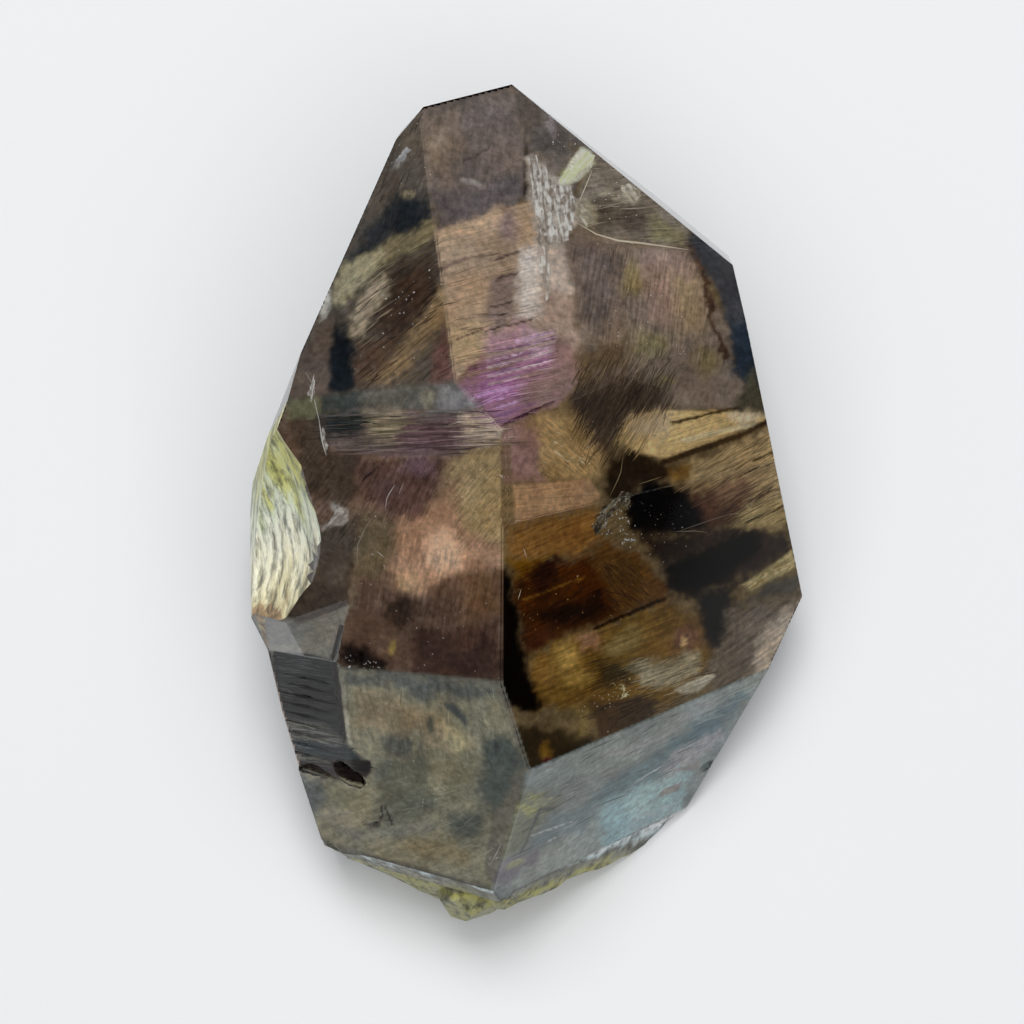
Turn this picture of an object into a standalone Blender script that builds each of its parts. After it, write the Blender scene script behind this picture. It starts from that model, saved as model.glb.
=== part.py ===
"""Smoky amethyst crystal, broken off its rock and lying on the flat of its back.

+X runs across the crystal, +Y along it towards the tip and +Z up from the surface that it lies on.
The crystal is one solid. It is cut from a block, face by face, as quartz carries its faces: pyramid
faces at the tip, prism faces along the sides and pyramid faces at the root, where it was broken off.
A face is named by where it looks: heading is the turn of its outward normal from +X towards +Y,
tilt is the lean of that normal from +Z, and reach is its distance from the crystal's heart.
Angles are in degrees and lengths in millimetres, and the finished mesh is brought to metres.
"""

import math

import bmesh
import bpy
from mathutils import Matrix, Vector, noise

# --- driving dimensions -------------------------------------------------------------------------
MM = 0.001
BLOCK = 200.0                 # side of the block that every convex solid is cut from
WELD = 1e-5                   # two corners closer than this are one
HEART = Vector((0.0, 0.0, 16.0))
CENTRING = Vector((-0.095, 0.83, 0.0))  # brings the middle of the outline to the origin

# heading, tilt, reach of each face of the whole crystal
FACES = {
    "tip_right": (49.5, 35.4, 14.9),
    "tip_left": (145.8, 35.1, 18.2),
    "tip_rim": (50.7, 82.0, 22.92),
    "tip_side": (156.3, 88.0, 19.2),
    "tip_corner": (140.0, 80.0, 24.6),
    "tip_back_left": (126.7, 117.0, 21.2),
    "tip_back_right": (79.6, 120.9, 24.4),
    "front_left": (215.0, 32.1, 13.3),
    "front_right_plate": (-20.0, 43.0, 10.1),
    "side_right": (12.4, 86.8, 18.45),
    "side_left_tip": (163.0, 80.0, 19.65),
    "side_left_mid": (176.4, 80.0, 19.35),
    "side_left": (189.1, 96.8, 21.2),
    "side_left_root": (195.5, 90.0, 21.9),
    "back_right": (42.3, 150.0, 17.0),
    "back_left": (171.4, 143.0, 17.0),
    "root_left": (236.4, 44.4, 15.4),
    "root_flank": (221.5, 52.0, 16.95),
    "root_right": (-46.8, 60.9, 15.3),
    "root_side": (-25.4, 93.5, 22.42),
    "root_back": (-1.0, 140.0, 20.7),
    "root_lip": (249.0, 68.5, 24.75),
    "root_under_left": (241.5, 98.0, 31.6),
    "root_under_right": (-73.9, 96.0, 30.2),
    "rest": (0.0, 180.0, 16.0),
}

# The big front face stands a little higher towards the tip, and steps down along one growth line
PLATE_FLOOR = (-22.8, 43.9, 9.57)
PLATE_EDGE = (-69.0, 80.0, 3.44)

# Ledge on the lower left: a striated floor, the wall above it, its end walls and a nick beside it
LEDGE_FLOOR = (206.0, 55.0, 15.72)
LEDGE_ROOF = (236.0, 69.0, 17.1)
LEDGE_END = (188.7, 85.0, 15.65)
LEDGE_FOOT = (86.0, 80.0, -22.0)
NICK_FLOOR = (206.0, 55.0, 15.8)
NICK_ROOF = (267.4, 58.0, 9.9)
NICK_END = (172.4, 80.0, 12.65)

# Shell-shaped scar on the left side
SCAR_CENTRE = Vector((-24.5, -3.9, 27.0))
SCAR_RADII = Vector((10.6, 14.6, 13.8))
SCAR_PINCH = 1.22             # 1 is an egg, more draws its skin in between its poles
SCAR_RELIEF = 0.4
SCAR_GRAIN = 2.6              # width of one flow line of the scar
SCAR_STRETCH = 0.3            # flow lines run along the crystal, so the relief is drawn out that way

# Broken root: lumpy cuts, each with its plane, middle, half width, half height, roll, relief and seed
BREAK_GRAIN = 2.6
BREAK_CELL = 0.8              # side of one cell of a rough cutting face
BREAK_DEPTH = 6.0             # how far a cutting block reaches out of the crystal
BREAKS = (
    ((249.0, 69.5, 24.6), Vector((-8.6, -29.4, 5.2)), 9.6, 3.2, 19.0, 0.42, 3.0),
    ((-47.2, 61.6, 15.17), Vector((6.2, -28.4, 3.6)), 9.6, 2.3, -38.0, 0.3, 7.0),
    ((-73.5, 94.0, 29.75), Vector((4.5, -28.0, 4.0)), 9.6, 4.4, -30.0, 0.5, 13.0),
)
SPUR_MIDDLE = Vector((-4.1, -28.8, 4.8))
SPUR_RADII = Vector((2.6, 3.3, 4.2))
SPUR_SIDES = 26               # flats of the spur, spread evenly and set unevenly deep
SPUR_UNEVEN = 0.3

# Chips and pits: middle, radii, turn about +Z
CHIPS = {
    "drop_pit": (Vector((-13.5, -20.1, 13.6)), Vector((2.2, 0.85, 1.2)), -18.0),
    "edge_chip_a": (Vector((-12.4, -11.6, 21.5)), Vector((1.2, 0.4, 0.6)), 52.0),
    "edge_chip_b": (Vector((-11.5, -12.1, 21.8)), Vector((0.5, 0.4, 0.6)), 70.0),
    "edge_chip_c": (Vector((-10.3, -12.2, 22.3)), Vector((0.5, 0.3, 0.5)), -40.0),
    "edge_chip_d": (Vector((-2.6, -12.9, 26.0)), Vector((0.45, 0.4, 0.55)), 60.0),
    "ridge_chip": (Vector((-3.8, 29.8, 20.4)), Vector((0.7, 0.4, 0.6)), 20.0),
    "rim_chip_a": (Vector((14.4, -20.3, 4.3)), Vector((1.4, 0.55, 1.3)), 35.0),
    "rim_chip_b": (Vector((11.2, -22.4, 5.7)), Vector((1.5, 0.45, 0.55)), 40.0),
    "rim_chip_c": (Vector((14.0, -24.3, 1.2)), Vector((0.9, 1.2, 1.4)), 20.0),
    "rim_chip_d": (Vector((20.9, -9.0, 7.6)), Vector((0.5, 1.1, 0.9)), -20.0),
    "foot_chip": (Vector((-14.9, -26.6, 6.6)), Vector((1.5, 0.8, 1.2)), -20.0),
}
CHIP_RELIEF = 0.12
CHIP_GRAIN = 0.8

# Growth lines: long shallow grooves. Each row starts at its first middle and steps towards its last
LINE_RISE = 0.012             # how far a groove's cutter stands out of the face
FRONT_LINES = {
    "face": FACES["front_left"],
    "first": Vector((-8.6, 5.95, 29.46)),
    "last": Vector((-7.7, 2.3, 28.6)),
    "run": Vector((0.885, 0.03, 0.465)),
    "count": 8,
    "half_length": 9.4,
    "half_width": 0.13,
    "depth": 0.09,
}
LEDGE_LINES = {
    "face": LEDGE_FLOOR,
    "first": Vector((-16.3, -13.0, 14.5)),
    "last": Vector((-16.5, -19.0, 10.4)),
    "run": Vector((0.642, -0.102, 0.76)),
    "count": 9,
    "half_length": 4.6,
    "half_width": 0.2,
    "depth": 0.14,
}
LINE_SWAY = 0.35              # how unevenly the grooves of a row are spaced, as a share of a step


def clear_scene():
    """Empty the scene, so that the script can be run again."""
    for thing in list(bpy.data.objects):
        bpy.data.objects.remove(thing, do_unlink=True)


def looks(heading, tilt):
    """The outward normal of a face, from its heading and its tilt."""
    turn = math.radians(heading)
    lean = math.radians(tilt)
    flat = math.sin(lean)
    return Vector((flat * math.cos(turn), flat * math.sin(turn), math.cos(lean)))


def in_front_of(face):
    """The same plane seen from behind, which keeps what lies in front of a face."""
    heading, tilt, reach = face
    return heading + 180.0, 180.0 - tilt, -reach


def slice_off(solid, place, normal):
    """Take away what lies in front of a plane, and close the cut."""
    cut = bmesh.ops.bisect_plane(
        solid,
        geom=solid.verts[:] + solid.edges[:] + solid.faces[:],
        dist=WELD,
        plane_co=place,
        plane_no=normal,
        clear_outer=True,
    )
    rim = [part for part in cut["geom_cut"] if isinstance(part, bmesh.types.BMEdge)]
    if rim:
        bmesh.ops.contextual_create(solid, geom=rim)


def grow(faces):
    """A block cut by one plane after another: the convex solid behind all the faces."""
    solid = bmesh.new()
    bmesh.ops.create_cube(solid, size=BLOCK, matrix=Matrix.Translation(HEART))
    for heading, tilt, reach in faces:
        normal = looks(heading, tilt)
        slice_off(solid, HEART + normal * reach, normal)
    return solid


def finish(name, solid):
    """The object of a mesh that was worked out in millimetres."""
    bmesh.ops.recalc_face_normals(solid, faces=solid.faces)
    bmesh.ops.translate(solid, vec=CENTRING, verts=solid.verts)
    bmesh.ops.scale(solid, vec=(MM, MM, MM), verts=solid.verts)
    mesh = bpy.data.meshes.new(name)
    solid.to_mesh(mesh)
    solid.free()
    thing = bpy.data.objects.new(name, mesh)
    bpy.context.scene.collection.objects.link(thing)
    return thing


def shape_with(crystal, name, solid, operation="DIFFERENCE"):
    """Cut a solid out of the crystal, or join it on, and hide it."""
    tool = finish(name, solid)
    tool.hide_render = True
    tool.display_type = "WIRE"
    step = crystal.modifiers.new(name, "BOOLEAN")
    step.operation = operation
    step.solver = "EXACT"
    step.object = tool


def relief(place, grain, height, seed):
    """Smooth seeded bumps: two octaves of noise, between about -height and height."""
    spot = place / grain + Vector((seed, 2.0 * seed, -seed))
    return height * (0.8 * noise.noise(spot) + 0.4 * noise.noise(spot * 2.7))


def pinched(share):
    """A share of a radius, drawn in between the poles."""
    return math.copysign(abs(share) ** SCAR_PINCH, share)


def scar():
    """A pinched egg rippled by flow lines: what a blow takes out of glassy quartz."""
    egg = bmesh.new()
    bmesh.ops.create_icosphere(egg, subdivisions=5, radius=1.0)
    for corner in egg.verts:
        outward = corner.co.copy()
        place = SCAR_CENTRE + Vector([pinched(outward[i]) * SCAR_RADII[i] for i in range(3)])
        along = Vector((place.x, place.y * SCAR_STRETCH, place.z))
        corner.co = place + outward * relief(along, SCAR_GRAIN, SCAR_RELIEF, 4.0)
    return egg


def lump(middle, radii, turn, height, grain, seed):
    """An uneven egg, turned about +Z."""
    egg = bmesh.new()
    bmesh.ops.create_icosphere(egg, subdivisions=2, radius=1.0)
    twist = Matrix.Rotation(math.radians(turn), 3, "Z")
    for corner in egg.verts:
        outward = corner.co.copy()
        place = twist @ Vector([outward[i] * radii[i] for i in range(3)]) + middle
        corner.co = place + (twist @ outward) * relief(place, grain, height, seed)
    return egg


def splinter(middle, radii, sides, uneven, seed):
    """A many-sided fragment: flats spread over an egg by the golden angle, each off its depth a little."""
    turn = math.pi * (3.0 - math.sqrt(5.0))
    fragment = bmesh.new()
    bmesh.ops.create_cube(fragment, size=BLOCK, matrix=Matrix.Translation(middle))
    for number in range(sides):
        height = 1.0 - 2.0 * (number + 0.5) / sides
        flat = math.sqrt(1.0 - height * height)
        way = Vector((flat * math.cos(turn * number), flat * math.sin(turn * number), height))
        depth = Vector([way[i] * radii[i] for i in range(3)]).length
        depth *= 1.0 + uneven * noise.noise(way * 2.3 + Vector((seed, seed, seed)))
        slice_off(fragment, middle + way * depth, way)
    return fragment


def rough_block(face, middle, half_width, half_height, roll, height, seed):
    """A closed block whose inner side is a lumpy face: cells on a plane, each pushed in or out."""
    heading, tilt, reach = face
    normal = looks(heading, tilt)
    across = Matrix.Rotation(math.radians(roll), 3, normal) @ Vector((0.0, 0.0, 1.0)).cross(normal)
    across.normalize()
    upward = normal.cross(across)
    centre = middle - normal * (normal.dot(middle - HEART) - reach)
    columns = round(2.0 * half_width / BREAK_CELL)
    rows = round(2.0 * half_height / BREAK_CELL)
    block = bmesh.new()
    near = []
    far = []
    for row in range(rows + 1):
        for column in range(columns + 1):
            spot = centre + across * (column * BREAK_CELL - half_width)
            spot = spot + upward * (row * BREAK_CELL - half_height)
            bump = relief(spot, BREAK_GRAIN, height, seed)
            near.append(block.verts.new(spot + normal * bump))
            far.append(block.verts.new(spot + normal * BREAK_DEPTH))
    span = columns + 1
    for row in range(rows):
        for column in range(columns):
            first = row * span + column
            ring = (first, first + 1, first + 1 + span, first + span)
            block.faces.new([near[i] for i in reversed(ring)])
            block.faces.new([far[i] for i in ring])
    border = list(range(span))
    border += [row * span + columns for row in range(1, rows + 1)]
    border += [rows * span + column for column in range(columns - 1, -1, -1)]
    border += [row * span for row in range(rows - 1, 0, -1)]
    for here, there in zip(border, border[1:] + border[:1]):
        block.faces.new((near[here], near[there], far[there], far[here]))
    return block


def growth_lines(face, first, last, run, count, half_length, half_width, depth):
    """A row of long pointed grooves: each is a spindle laid half into the face along the run."""
    heading, tilt, reach = face
    normal = looks(heading, tilt)
    run = (run - normal * run.dot(normal)).normalized()
    aside = normal.cross(run)
    row = bmesh.new()
    for number in range(count):
        sway = LINE_SWAY * noise.noise(Vector((number * 1.7, depth, half_length)))
        middle = first.lerp(last, (number + sway) / (count - 1))
        middle = middle - normal * (normal.dot(middle - HEART) - reach)
        length = half_length * (0.82 + 0.3 * noise.noise(Vector((number * 2.3, 5.0, depth))))
        slide = run * (half_length * 0.25 * noise.noise(Vector((number * 3.1, 9.0, depth))))
        top = middle + slide + normal * LINE_RISE
        ends = [row.verts.new(top + run * length), row.verts.new(top - run * length)]
        ring = [
            row.verts.new(top + aside * half_width),
            row.verts.new(top + normal * LINE_RISE),
            row.verts.new(top - aside * half_width),
            row.verts.new(top - normal * (depth + LINE_RISE)),
        ]
        for here, there in zip(ring, ring[1:] + ring[:1]):
            row.faces.new((ends[0], here, there))
            row.faces.new((ends[1], there, here))
    return row


def smoky_quartz():
    """Clear violet-brown quartz: glassy, with the smoke in its body."""
    material = bpy.data.materials.new("smoky_amethyst")
    material.use_nodes = True
    shader = material.node_tree.nodes["Principled BSDF"]
    shader.inputs["Base Color"].default_value = (0.30, 0.24, 0.26, 1.0)
    shader.inputs["Metallic"].default_value = 0.0
    shader.inputs["Roughness"].default_value = 0.06
    shader.inputs["IOR"].default_value = 1.544
    return material


def main():
    clear_scene()
    crystal = finish("amethyst_crystal", grow(FACES.values()))
    crystal.data.materials.append(smoky_quartz())
    shape_with(crystal, "plate_step", grow([in_front_of(PLATE_FLOOR), in_front_of(PLATE_EDGE)]))
    shape_with(crystal, "side_scar", scar())
    ledge = (LEDGE_FLOOR, LEDGE_ROOF, LEDGE_END, LEDGE_FOOT)
    shape_with(crystal, "ledge", grow([in_front_of(face) for face in ledge]))
    nick = (NICK_FLOOR, NICK_ROOF, NICK_END, LEDGE_FOOT)
    shape_with(crystal, "ledge_nick", grow([in_front_of(face) for face in nick]))
    for number, cut in enumerate(BREAKS):
        shape_with(crystal, f"break_{number}", rough_block(*cut))
    spur = splinter(SPUR_MIDDLE, SPUR_RADII, SPUR_SIDES, SPUR_UNEVEN, 5.0)
    shape_with(crystal, "spur", spur, "UNION")
    for number, (name, (middle, radii, turn)) in enumerate(CHIPS.items()):
        shape_with(crystal, name, lump(middle, radii, turn, CHIP_RELIEF, CHIP_GRAIN, number))
    shape_with(crystal, "front_lines", growth_lines(**FRONT_LINES))
    shape_with(crystal, "ledge_lines", growth_lines(**LEDGE_LINES))


main()
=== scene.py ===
# %% [markdown]
# # A smoky amethyst crystal
#
# A natural point of quartz, a little over six centimetres long, lying on its back. Its smooth
# faces are clear: nothing is painted on them, so their colours sit inside. The lesson builds it
# the same way. The outside is a see-through solid, crusted only where the stone is broken. What
# colours it (smoke, violet layers, honey brown veils, fibres and silvery cracks) is one thin sheet
# of drawn layers close under the faces, with threads, films and grains of their own just above
# that sheet. Some of these colours are painted light: the sheen of the two lower faces, a few
# highlights, and part of the pale tones of the cracks and grains.

# %% Load the imported crystal
import math

import bpy
import numpy as np
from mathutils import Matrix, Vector


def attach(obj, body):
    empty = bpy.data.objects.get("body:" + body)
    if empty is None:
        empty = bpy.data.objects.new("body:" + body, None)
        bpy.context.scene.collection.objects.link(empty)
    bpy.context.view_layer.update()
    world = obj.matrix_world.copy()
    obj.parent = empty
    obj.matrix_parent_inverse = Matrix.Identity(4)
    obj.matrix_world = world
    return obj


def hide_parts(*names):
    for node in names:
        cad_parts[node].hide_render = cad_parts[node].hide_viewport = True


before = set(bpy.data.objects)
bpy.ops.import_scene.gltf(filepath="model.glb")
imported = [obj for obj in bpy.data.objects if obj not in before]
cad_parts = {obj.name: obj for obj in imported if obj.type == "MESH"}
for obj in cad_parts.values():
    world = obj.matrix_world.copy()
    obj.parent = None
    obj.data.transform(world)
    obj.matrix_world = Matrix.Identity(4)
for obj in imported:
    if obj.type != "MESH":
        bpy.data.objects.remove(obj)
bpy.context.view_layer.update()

MM = 0.001
TINY = 1e-9                   # keeps a division from meeting zero
NODE = "amethyst_crystal"
print("pieces in the frame:", sorted(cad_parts))

# %% [markdown]
# ## Two helpers for materials
#
# Paint charts and web pages give colours as sRGB hex values, but Blender's sockets want linear
# light. One function turns the first into the second. A second small function adds a shader node
# with its settings and links, which keeps the material cells short enough to read.

# %% Colour and node helpers
NOISE_LOW = 0.3               # Blender's noise textures mostly stay between these two values
NOISE_HIGH = 0.7


def linear(hex_colour):
    """sRGB hex to linear red, green, blue: the standard curve with its straight foot."""
    share = np.array([int(hex_colour[i:i + 2], 16) for i in (1, 3, 5)]) / 255.0
    return np.where(share <= 0.04045, share / 12.92, ((share + 0.055) / 1.055) ** 2.4)


def add(tree, kind, settings=None, **links):
    """A new node with its settings. Links fill its inputs: values, sockets, or a node's first output."""
    node = tree.nodes.new(kind)
    for name, value in (settings or {}).items():
        setattr(node, name, value)
    for name, value in links.items():
        socket = node.inputs[int(name[1:])] if name[1:].isdigit() else node.inputs[name.replace("_", " ")]
        value = value.outputs[0] if isinstance(value, bpy.types.Node) else value
        if isinstance(value, bpy.types.NodeSocket):
            tree.links.new(value, socket)
        else:
            socket.default_value = value
    return node


def new_material(name):
    """An empty node material with an output, and its Principled shader."""
    material = bpy.data.materials.new(name)
    material.use_nodes = True
    return material, material.node_tree, material.node_tree.nodes["Principled BSDF"]


print("white in linear light:", linear("#ffffff"))

# %% [markdown]
# ## The stone's outer faces, measured
#
# Colour in amethyst is laid down in layers parallel to the growing faces, so the faces' planes
# are needed first. They are read from the solid itself: triangles that look the same way are one
# face, and a face is an outer one if no corner of the stone stands in front of its plane.

# %% Read the planes of the faces


def corners_of(node):
    """Triangle corners of a frame node in millimetres, as an array of (triangle, corner, xyz)."""
    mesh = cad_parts[node].data
    place = np.empty(len(mesh.vertices) * 3)
    mesh.vertices.foreach_get("co", place)
    mesh.calc_loop_triangles()
    ring = np.empty(len(mesh.loop_triangles) * 3, int)
    mesh.loop_triangles.foreach_get("vertices", ring)
    return place.reshape(-1, 3)[ring].reshape(-1, 3, 3) / MM


stone = corners_of(NODE)
span = np.cross(stone[:, 1] - stone[:, 0], stone[:, 2] - stone[:, 0])
area = np.linalg.norm(span, axis=1) / 2.0
way = span / np.maximum(2.0 * area, TINY)[:, None]
reach = (way * stone.mean(1)).sum(1)
FACE_AREA = 5.0               # a patch under 5 square millimetres is a chip, not a face
PLATE_AREA = 300.0            # a patch this big is a face even if it lies a step down
SAME = 0.01                   # planes closer than this, in direction and in centimetres, are one
IN_FRONT = 0.05               # millimetres that the stone may stand in front of an outer face
key = np.round(np.c_[way, reach / 10.0] / SAME).astype(int)
group = np.unique(key, axis=0, return_inverse=True)[1].ravel()
everywhere = stone.reshape(-1, 3)
normals = []
offsets = []
for plane in np.flatnonzero(np.bincount(group, area) > FACE_AREA):
    mine = group == plane
    normal = (way[mine] * area[mine, None]).sum(0)
    normal /= np.linalg.norm(normal)
    offset = (reach[mine] * area[mine]).sum() / area[mine].sum()
    if (everywhere @ normal).max() < offset + IN_FRONT or area[mine].sum() > PLATE_AREA:
        normals.append(normal)
        offsets.append(offset)
normals = np.array(normals)
offsets = np.array(offsets)
print(len(normals), "faces, of which", (normals[:, 2] > 0.0).sum(), "look up")

# %% [markdown]
# ## The eye and the bent line of sight
#
# The camera looks straight down on the stone through a long lens. A ray of sight bends where it
# enters the quartz (Snell's law), so a veil a few millimetres down is seen a little to one side
# of where it lies. All that is drawn inside the stone is laid out on a plan: a flat drawing at
# mid height, as the eye sees it. These functions carry a point from the plan into the stone, and
# from the stone back to the plan.

# %% Camera, and light bending
EYE = np.array([-1.169, 0.089, 260.0])        # millimetres
LENS = 116.75                                  # millimetres, on a sensor 36 wide
LEVEL = 16.0                                   # height of the plan
QUARTZ_IOR = 1.544

camera = bpy.data.objects.new("camera", bpy.data.cameras.new("camera"))
camera.location = EYE * MM
camera.data.lens = LENS
camera.data.clip_start = 0.01
camera.data.clip_end = 10.0
bpy.context.scene.collection.objects.link(camera)
bpy.context.scene.camera = camera

UPRIGHT = 0.3                 # faces steeper than this are walls, and no colour layer follows them
front_normals = normals[normals[:, 2] > UPRIGHT]
front_offsets = offsets[normals[:, 2] > UPRIGHT]


def bend(look, normal):
    """Snell's law in vector form: look shrunk by the index, plus a share of the normal."""
    facing = -(look * normal).sum(-1, keepdims=True)
    share = 1.0 / QUARTZ_IOR
    return look * share + (share * facing - np.sqrt(1.0 - share**2 * (1.0 - facing**2))) * normal


def unit(vectors):
    """Each vector divided by its length."""
    return vectors / np.linalg.norm(vectors, axis=-1, keepdims=True)


def sink(plan, depth):
    """Points of the plan, carried along the bent line of sight to a depth below the face they enter."""
    plan = np.asarray(plan, float)
    look = unit(np.c_[plan, np.full(len(plan), LEVEL)] - EYE)
    closing = look @ front_normals.T
    far = (front_offsets - front_normals @ EYE) / np.where(closing < -TINY, closing, np.nan)
    face = np.nanargmax(far, axis=1)
    entry = EYE + look * np.take_along_axis(far, face[:, None], 1)
    normal = front_normals[face]
    inside = bend(look, normal)
    return entry - inside * (np.asarray(depth) / (inside * normal).sum(1))[:, None], normal


def seen_at(spot, normal, depth):
    """Where on the plan a spot at that depth below a face shows: the sunken path, walked backwards."""
    inside = bend(unit(spot - EYE), normal)
    entry = spot + inside * (depth / (inside * normal).sum(-1, keepdims=True))
    grow = (EYE[2] - LEVEL) / (EYE[2] - entry[..., 2:])
    return EYE[:2] + (entry[..., :2] - EYE[:2]) * grow


print("eye at", EYE, "mm")

# %% [markdown]
# ## How high the stone reaches
#
# Nothing inside may poke out, also where the ledge and the scar bite into the faces. So the
# stone is measured as two height maps, its top and its underside, on a fine square grid.

# %% Height maps of the stone
STEP = 0.15                   # millimetres between grid points, two dots of the finished picture
MARGIN = 0.06                 # millimetres of clear quartz that stay above anything inside
NO_TOP = -1.0                 # heights that stand for a place without stone
NO_UNDERSIDE = 99.0
EDGE_SLACK = 1e-6             # share of a triangle by which a grid point may miss it
low = everywhere.min(0)
high = everywhere.max(0)
grid_x = np.arange(low[0] - STEP, high[0] + 2.0 * STEP, STEP)
grid_y = np.arange(low[1] - STEP, high[1] + 2.0 * STEP, STEP)
map_x, map_y = np.meshgrid(grid_x, grid_y)


def height_map(triangles, keep, blank):
    """The plane height of each triangle over the grid points inside it, joined by keep (max or min)."""
    height = np.full(map_x.shape, blank)
    for corner in triangles:
        edge_u = corner[1, :2] - corner[0, :2]
        edge_v = corner[2, :2] - corner[0, :2]
        twice = edge_u[0] * edge_v[1] - edge_u[1] * edge_v[0]
        if abs(twice) < TINY:
            continue
        left, right = np.searchsorted(grid_x, (corner[:, 0].min(), corner[:, 0].max()))
        near, far = np.searchsorted(grid_y, (corner[:, 1].min(), corner[:, 1].max()))
        window = (slice(near, far + 1), slice(left, right + 1))
        aside = map_x[window] - corner[0, 0]
        along = map_y[window] - corner[0, 1]
        u = (aside * edge_v[1] - along * edge_v[0]) / twice
        v = (along * edge_u[0] - aside * edge_u[1]) / twice
        z = corner[0, 2] + u * (corner[1, 2] - corner[0, 2]) + v * (corner[2, 2] - corner[0, 2])
        inside = (u > -EDGE_SLACK) & (v > -EDGE_SLACK) & (u + v < 1.0 + EDGE_SLACK)
        height[window] = np.where(inside, keep(height[window], z), height[window])
    return height


top = height_map(stone[way[:, 2] > 0.0], np.maximum, NO_TOP)
underside = height_map(stone[way[:, 2] < 0.0], np.minimum, NO_UNDERSIDE)


def read_map(field, x, y):
    """The nearest grid value of a map."""
    column = np.clip(np.round((x - grid_x[0]) / STEP).astype(int), 0, len(grid_x) - 1)
    row = np.clip(np.round((y - grid_y[0]) / STEP).astype(int), 0, len(grid_y) - 1)
    return field[row, column]


def well_inside(spot, margin=MARGIN, reach=STEP):
    """True where a spot has clear quartz over and under it, and stone all round it as far as reach."""
    inside = spot[..., 2] < read_map(top, spot[..., 0], spot[..., 1]) - margin
    inside &= spot[..., 2] > read_map(underside, spot[..., 0], spot[..., 1]) + margin
    for dx, dy in ((reach, 0.0), (-reach, 0.0), (0.0, reach), (0.0, -reach)):
        inside &= spot[..., 2] < read_map(top, spot[..., 0] + dx, spot[..., 1] + dy)
        inside &= spot[..., 2] > read_map(underside, spot[..., 0] + dx, spot[..., 1] + dy)
    return inside


print("grid", map_x.shape, "highest point", round(top.max(), 2), "mm")

# %% [markdown]
# ## Noise and shapes to paint with
#
# A painter has brushes; this script has noise and shapes. Noise gives clouds and drawn-out
# streaks. Shapes give a share from 0 to 1 for each point of the plan: a soft oval, a band
# along a line, a corner-by-corner patch. The layers are painted with them one over another, and
# their edges are made uneven by shifting the plan with noise first.

# %% Brushes
OCTAVE_SHIFT = 17.3           # lattice cells by which each octave of the noise is moved
OCTAVE_SEED = 31              # and by how much its seed grows


def dice(cell, seed):
    """A random share from 0 to 1 for each lattice cell: large odd numbers and shifts scramble its bits."""
    value = (cell * np.array([374761393, 668265263, 1274126177])).sum(-1) + seed * 144665
    value = (value ^ (value >> 13)) * 1103515245 & 0xFFFFFFFF
    value = (value ^ (value >> 15)) * 2654435761 & 0xFFFFFFFF
    return (value ^ (value >> 16)) / 4294967295.0


def cloud(place, grain, seed, octaves=3):
    """Smooth noise from -1 to 1: lattice values blended by smoothstep, finer octaves added at half weight.

    Each octave is moved and seeded anew, so that the lattices do not line up.
    """
    total = 0.0
    weight = 1.0
    scale = 1.0 / np.asarray(grain, float)
    for octave in range(octaves):
        spot = place * scale + OCTAVE_SHIFT * octave
        cell = np.floor(spot).astype(np.int64)
        share = spot - cell
        share = share * share * (3.0 - 2.0 * share)
        value = 0.0
        for corner in range(8):
            step = np.array([corner & 1, corner >> 1 & 1, corner >> 2])
            part = np.where(step == 1, share, 1.0 - share).prod(-1)
            value = value + part * dice(cell + step, seed + OCTAVE_SEED * octave)
        total = total + weight * (2.0 * value - 1.0)
        weight *= 0.5
        scale = scale * 2.0
    return total / (2.0 - 2.0 * weight)


def on_plan(plan):
    """Plan places with a zero height added, as the noise wants them."""
    return np.concatenate([plan, np.zeros(plan.shape[:-1] + (1,))], -1)


def streaks(plan, heading, length, width, seed):
    """Noise drawn out along a heading in degrees: its grain is longer along than across."""
    turn = math.radians(heading)
    along = plan[..., :1] * math.cos(turn) + plan[..., 1:] * math.sin(turn)
    aside = plan[..., 1:] * math.cos(turn) - plan[..., :1] * math.sin(turn)
    return cloud(np.concatenate([along / length, aside / width, 0.0 * along], -1), 1.0, seed)


def ease(value, start, end):
    """Smoothstep from 0 at start to 1 at end."""
    share = np.clip((value - start) / (end - start), 0.0, 1.0)
    return share * share * (3.0 - 2.0 * share)


def oval(plan, centre, radii, turn, soft):
    """1 inside an oval turned by degrees and 0 outside, eased over a share of its size."""
    angle = math.radians(turn)
    away = plan - centre
    along = away[..., 0] * math.cos(angle) + away[..., 1] * math.sin(angle)
    aside = away[..., 1] * math.cos(angle) - away[..., 0] * math.sin(angle)
    return 1.0 - ease(np.hypot(along / radii[0], aside / radii[1]), 1.0 - soft, 1.0 + soft)


def to_line(plan, start, end):
    """Distance of each place to the nearest point of the line from start to end."""
    side = end - start
    away = plan - start
    share = np.clip((away @ side) / (side @ side), 0.0, 1.0)
    return np.linalg.norm(away - share[..., None] * side, axis=-1)


def patch(plan, corners, soft):
    """1 inside a patch with straight sides, eased over soft millimetres at its border."""
    distance = np.full(plan.shape[:-1], np.inf)
    inside = np.zeros(plan.shape[:-1], bool)
    for here, there in zip(corners, np.roll(corners, -1, 0)):
        side = there - here
        distance = np.minimum(distance, to_line(plan, here, there))
        crosses = (here[1] > plan[..., 1]) != (there[1] > plan[..., 1])
        slope = side[0] / side[1] if side[1] else 0.0
        inside ^= crosses & (plan[..., 0] < here[0] + (plan[..., 1] - here[1]) * slope)
    return ease(np.where(inside, distance, -distance), -soft, soft)


def within(plan, corners):
    """True inside a patch with straight sides."""
    return patch(plan, corners, TINY) > 0.5


def band(plan, start, end, width, soft):
    """1 along a line from start to end, eased to 0 at half its width, give or take a share."""
    return 1.0 - ease(to_line(plan, start, end) / (0.5 * width), 1.0 - soft, 1.0 + soft)


print("noise at the origin:", cloud(np.zeros((1, 3)), 1.0, 1))

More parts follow.
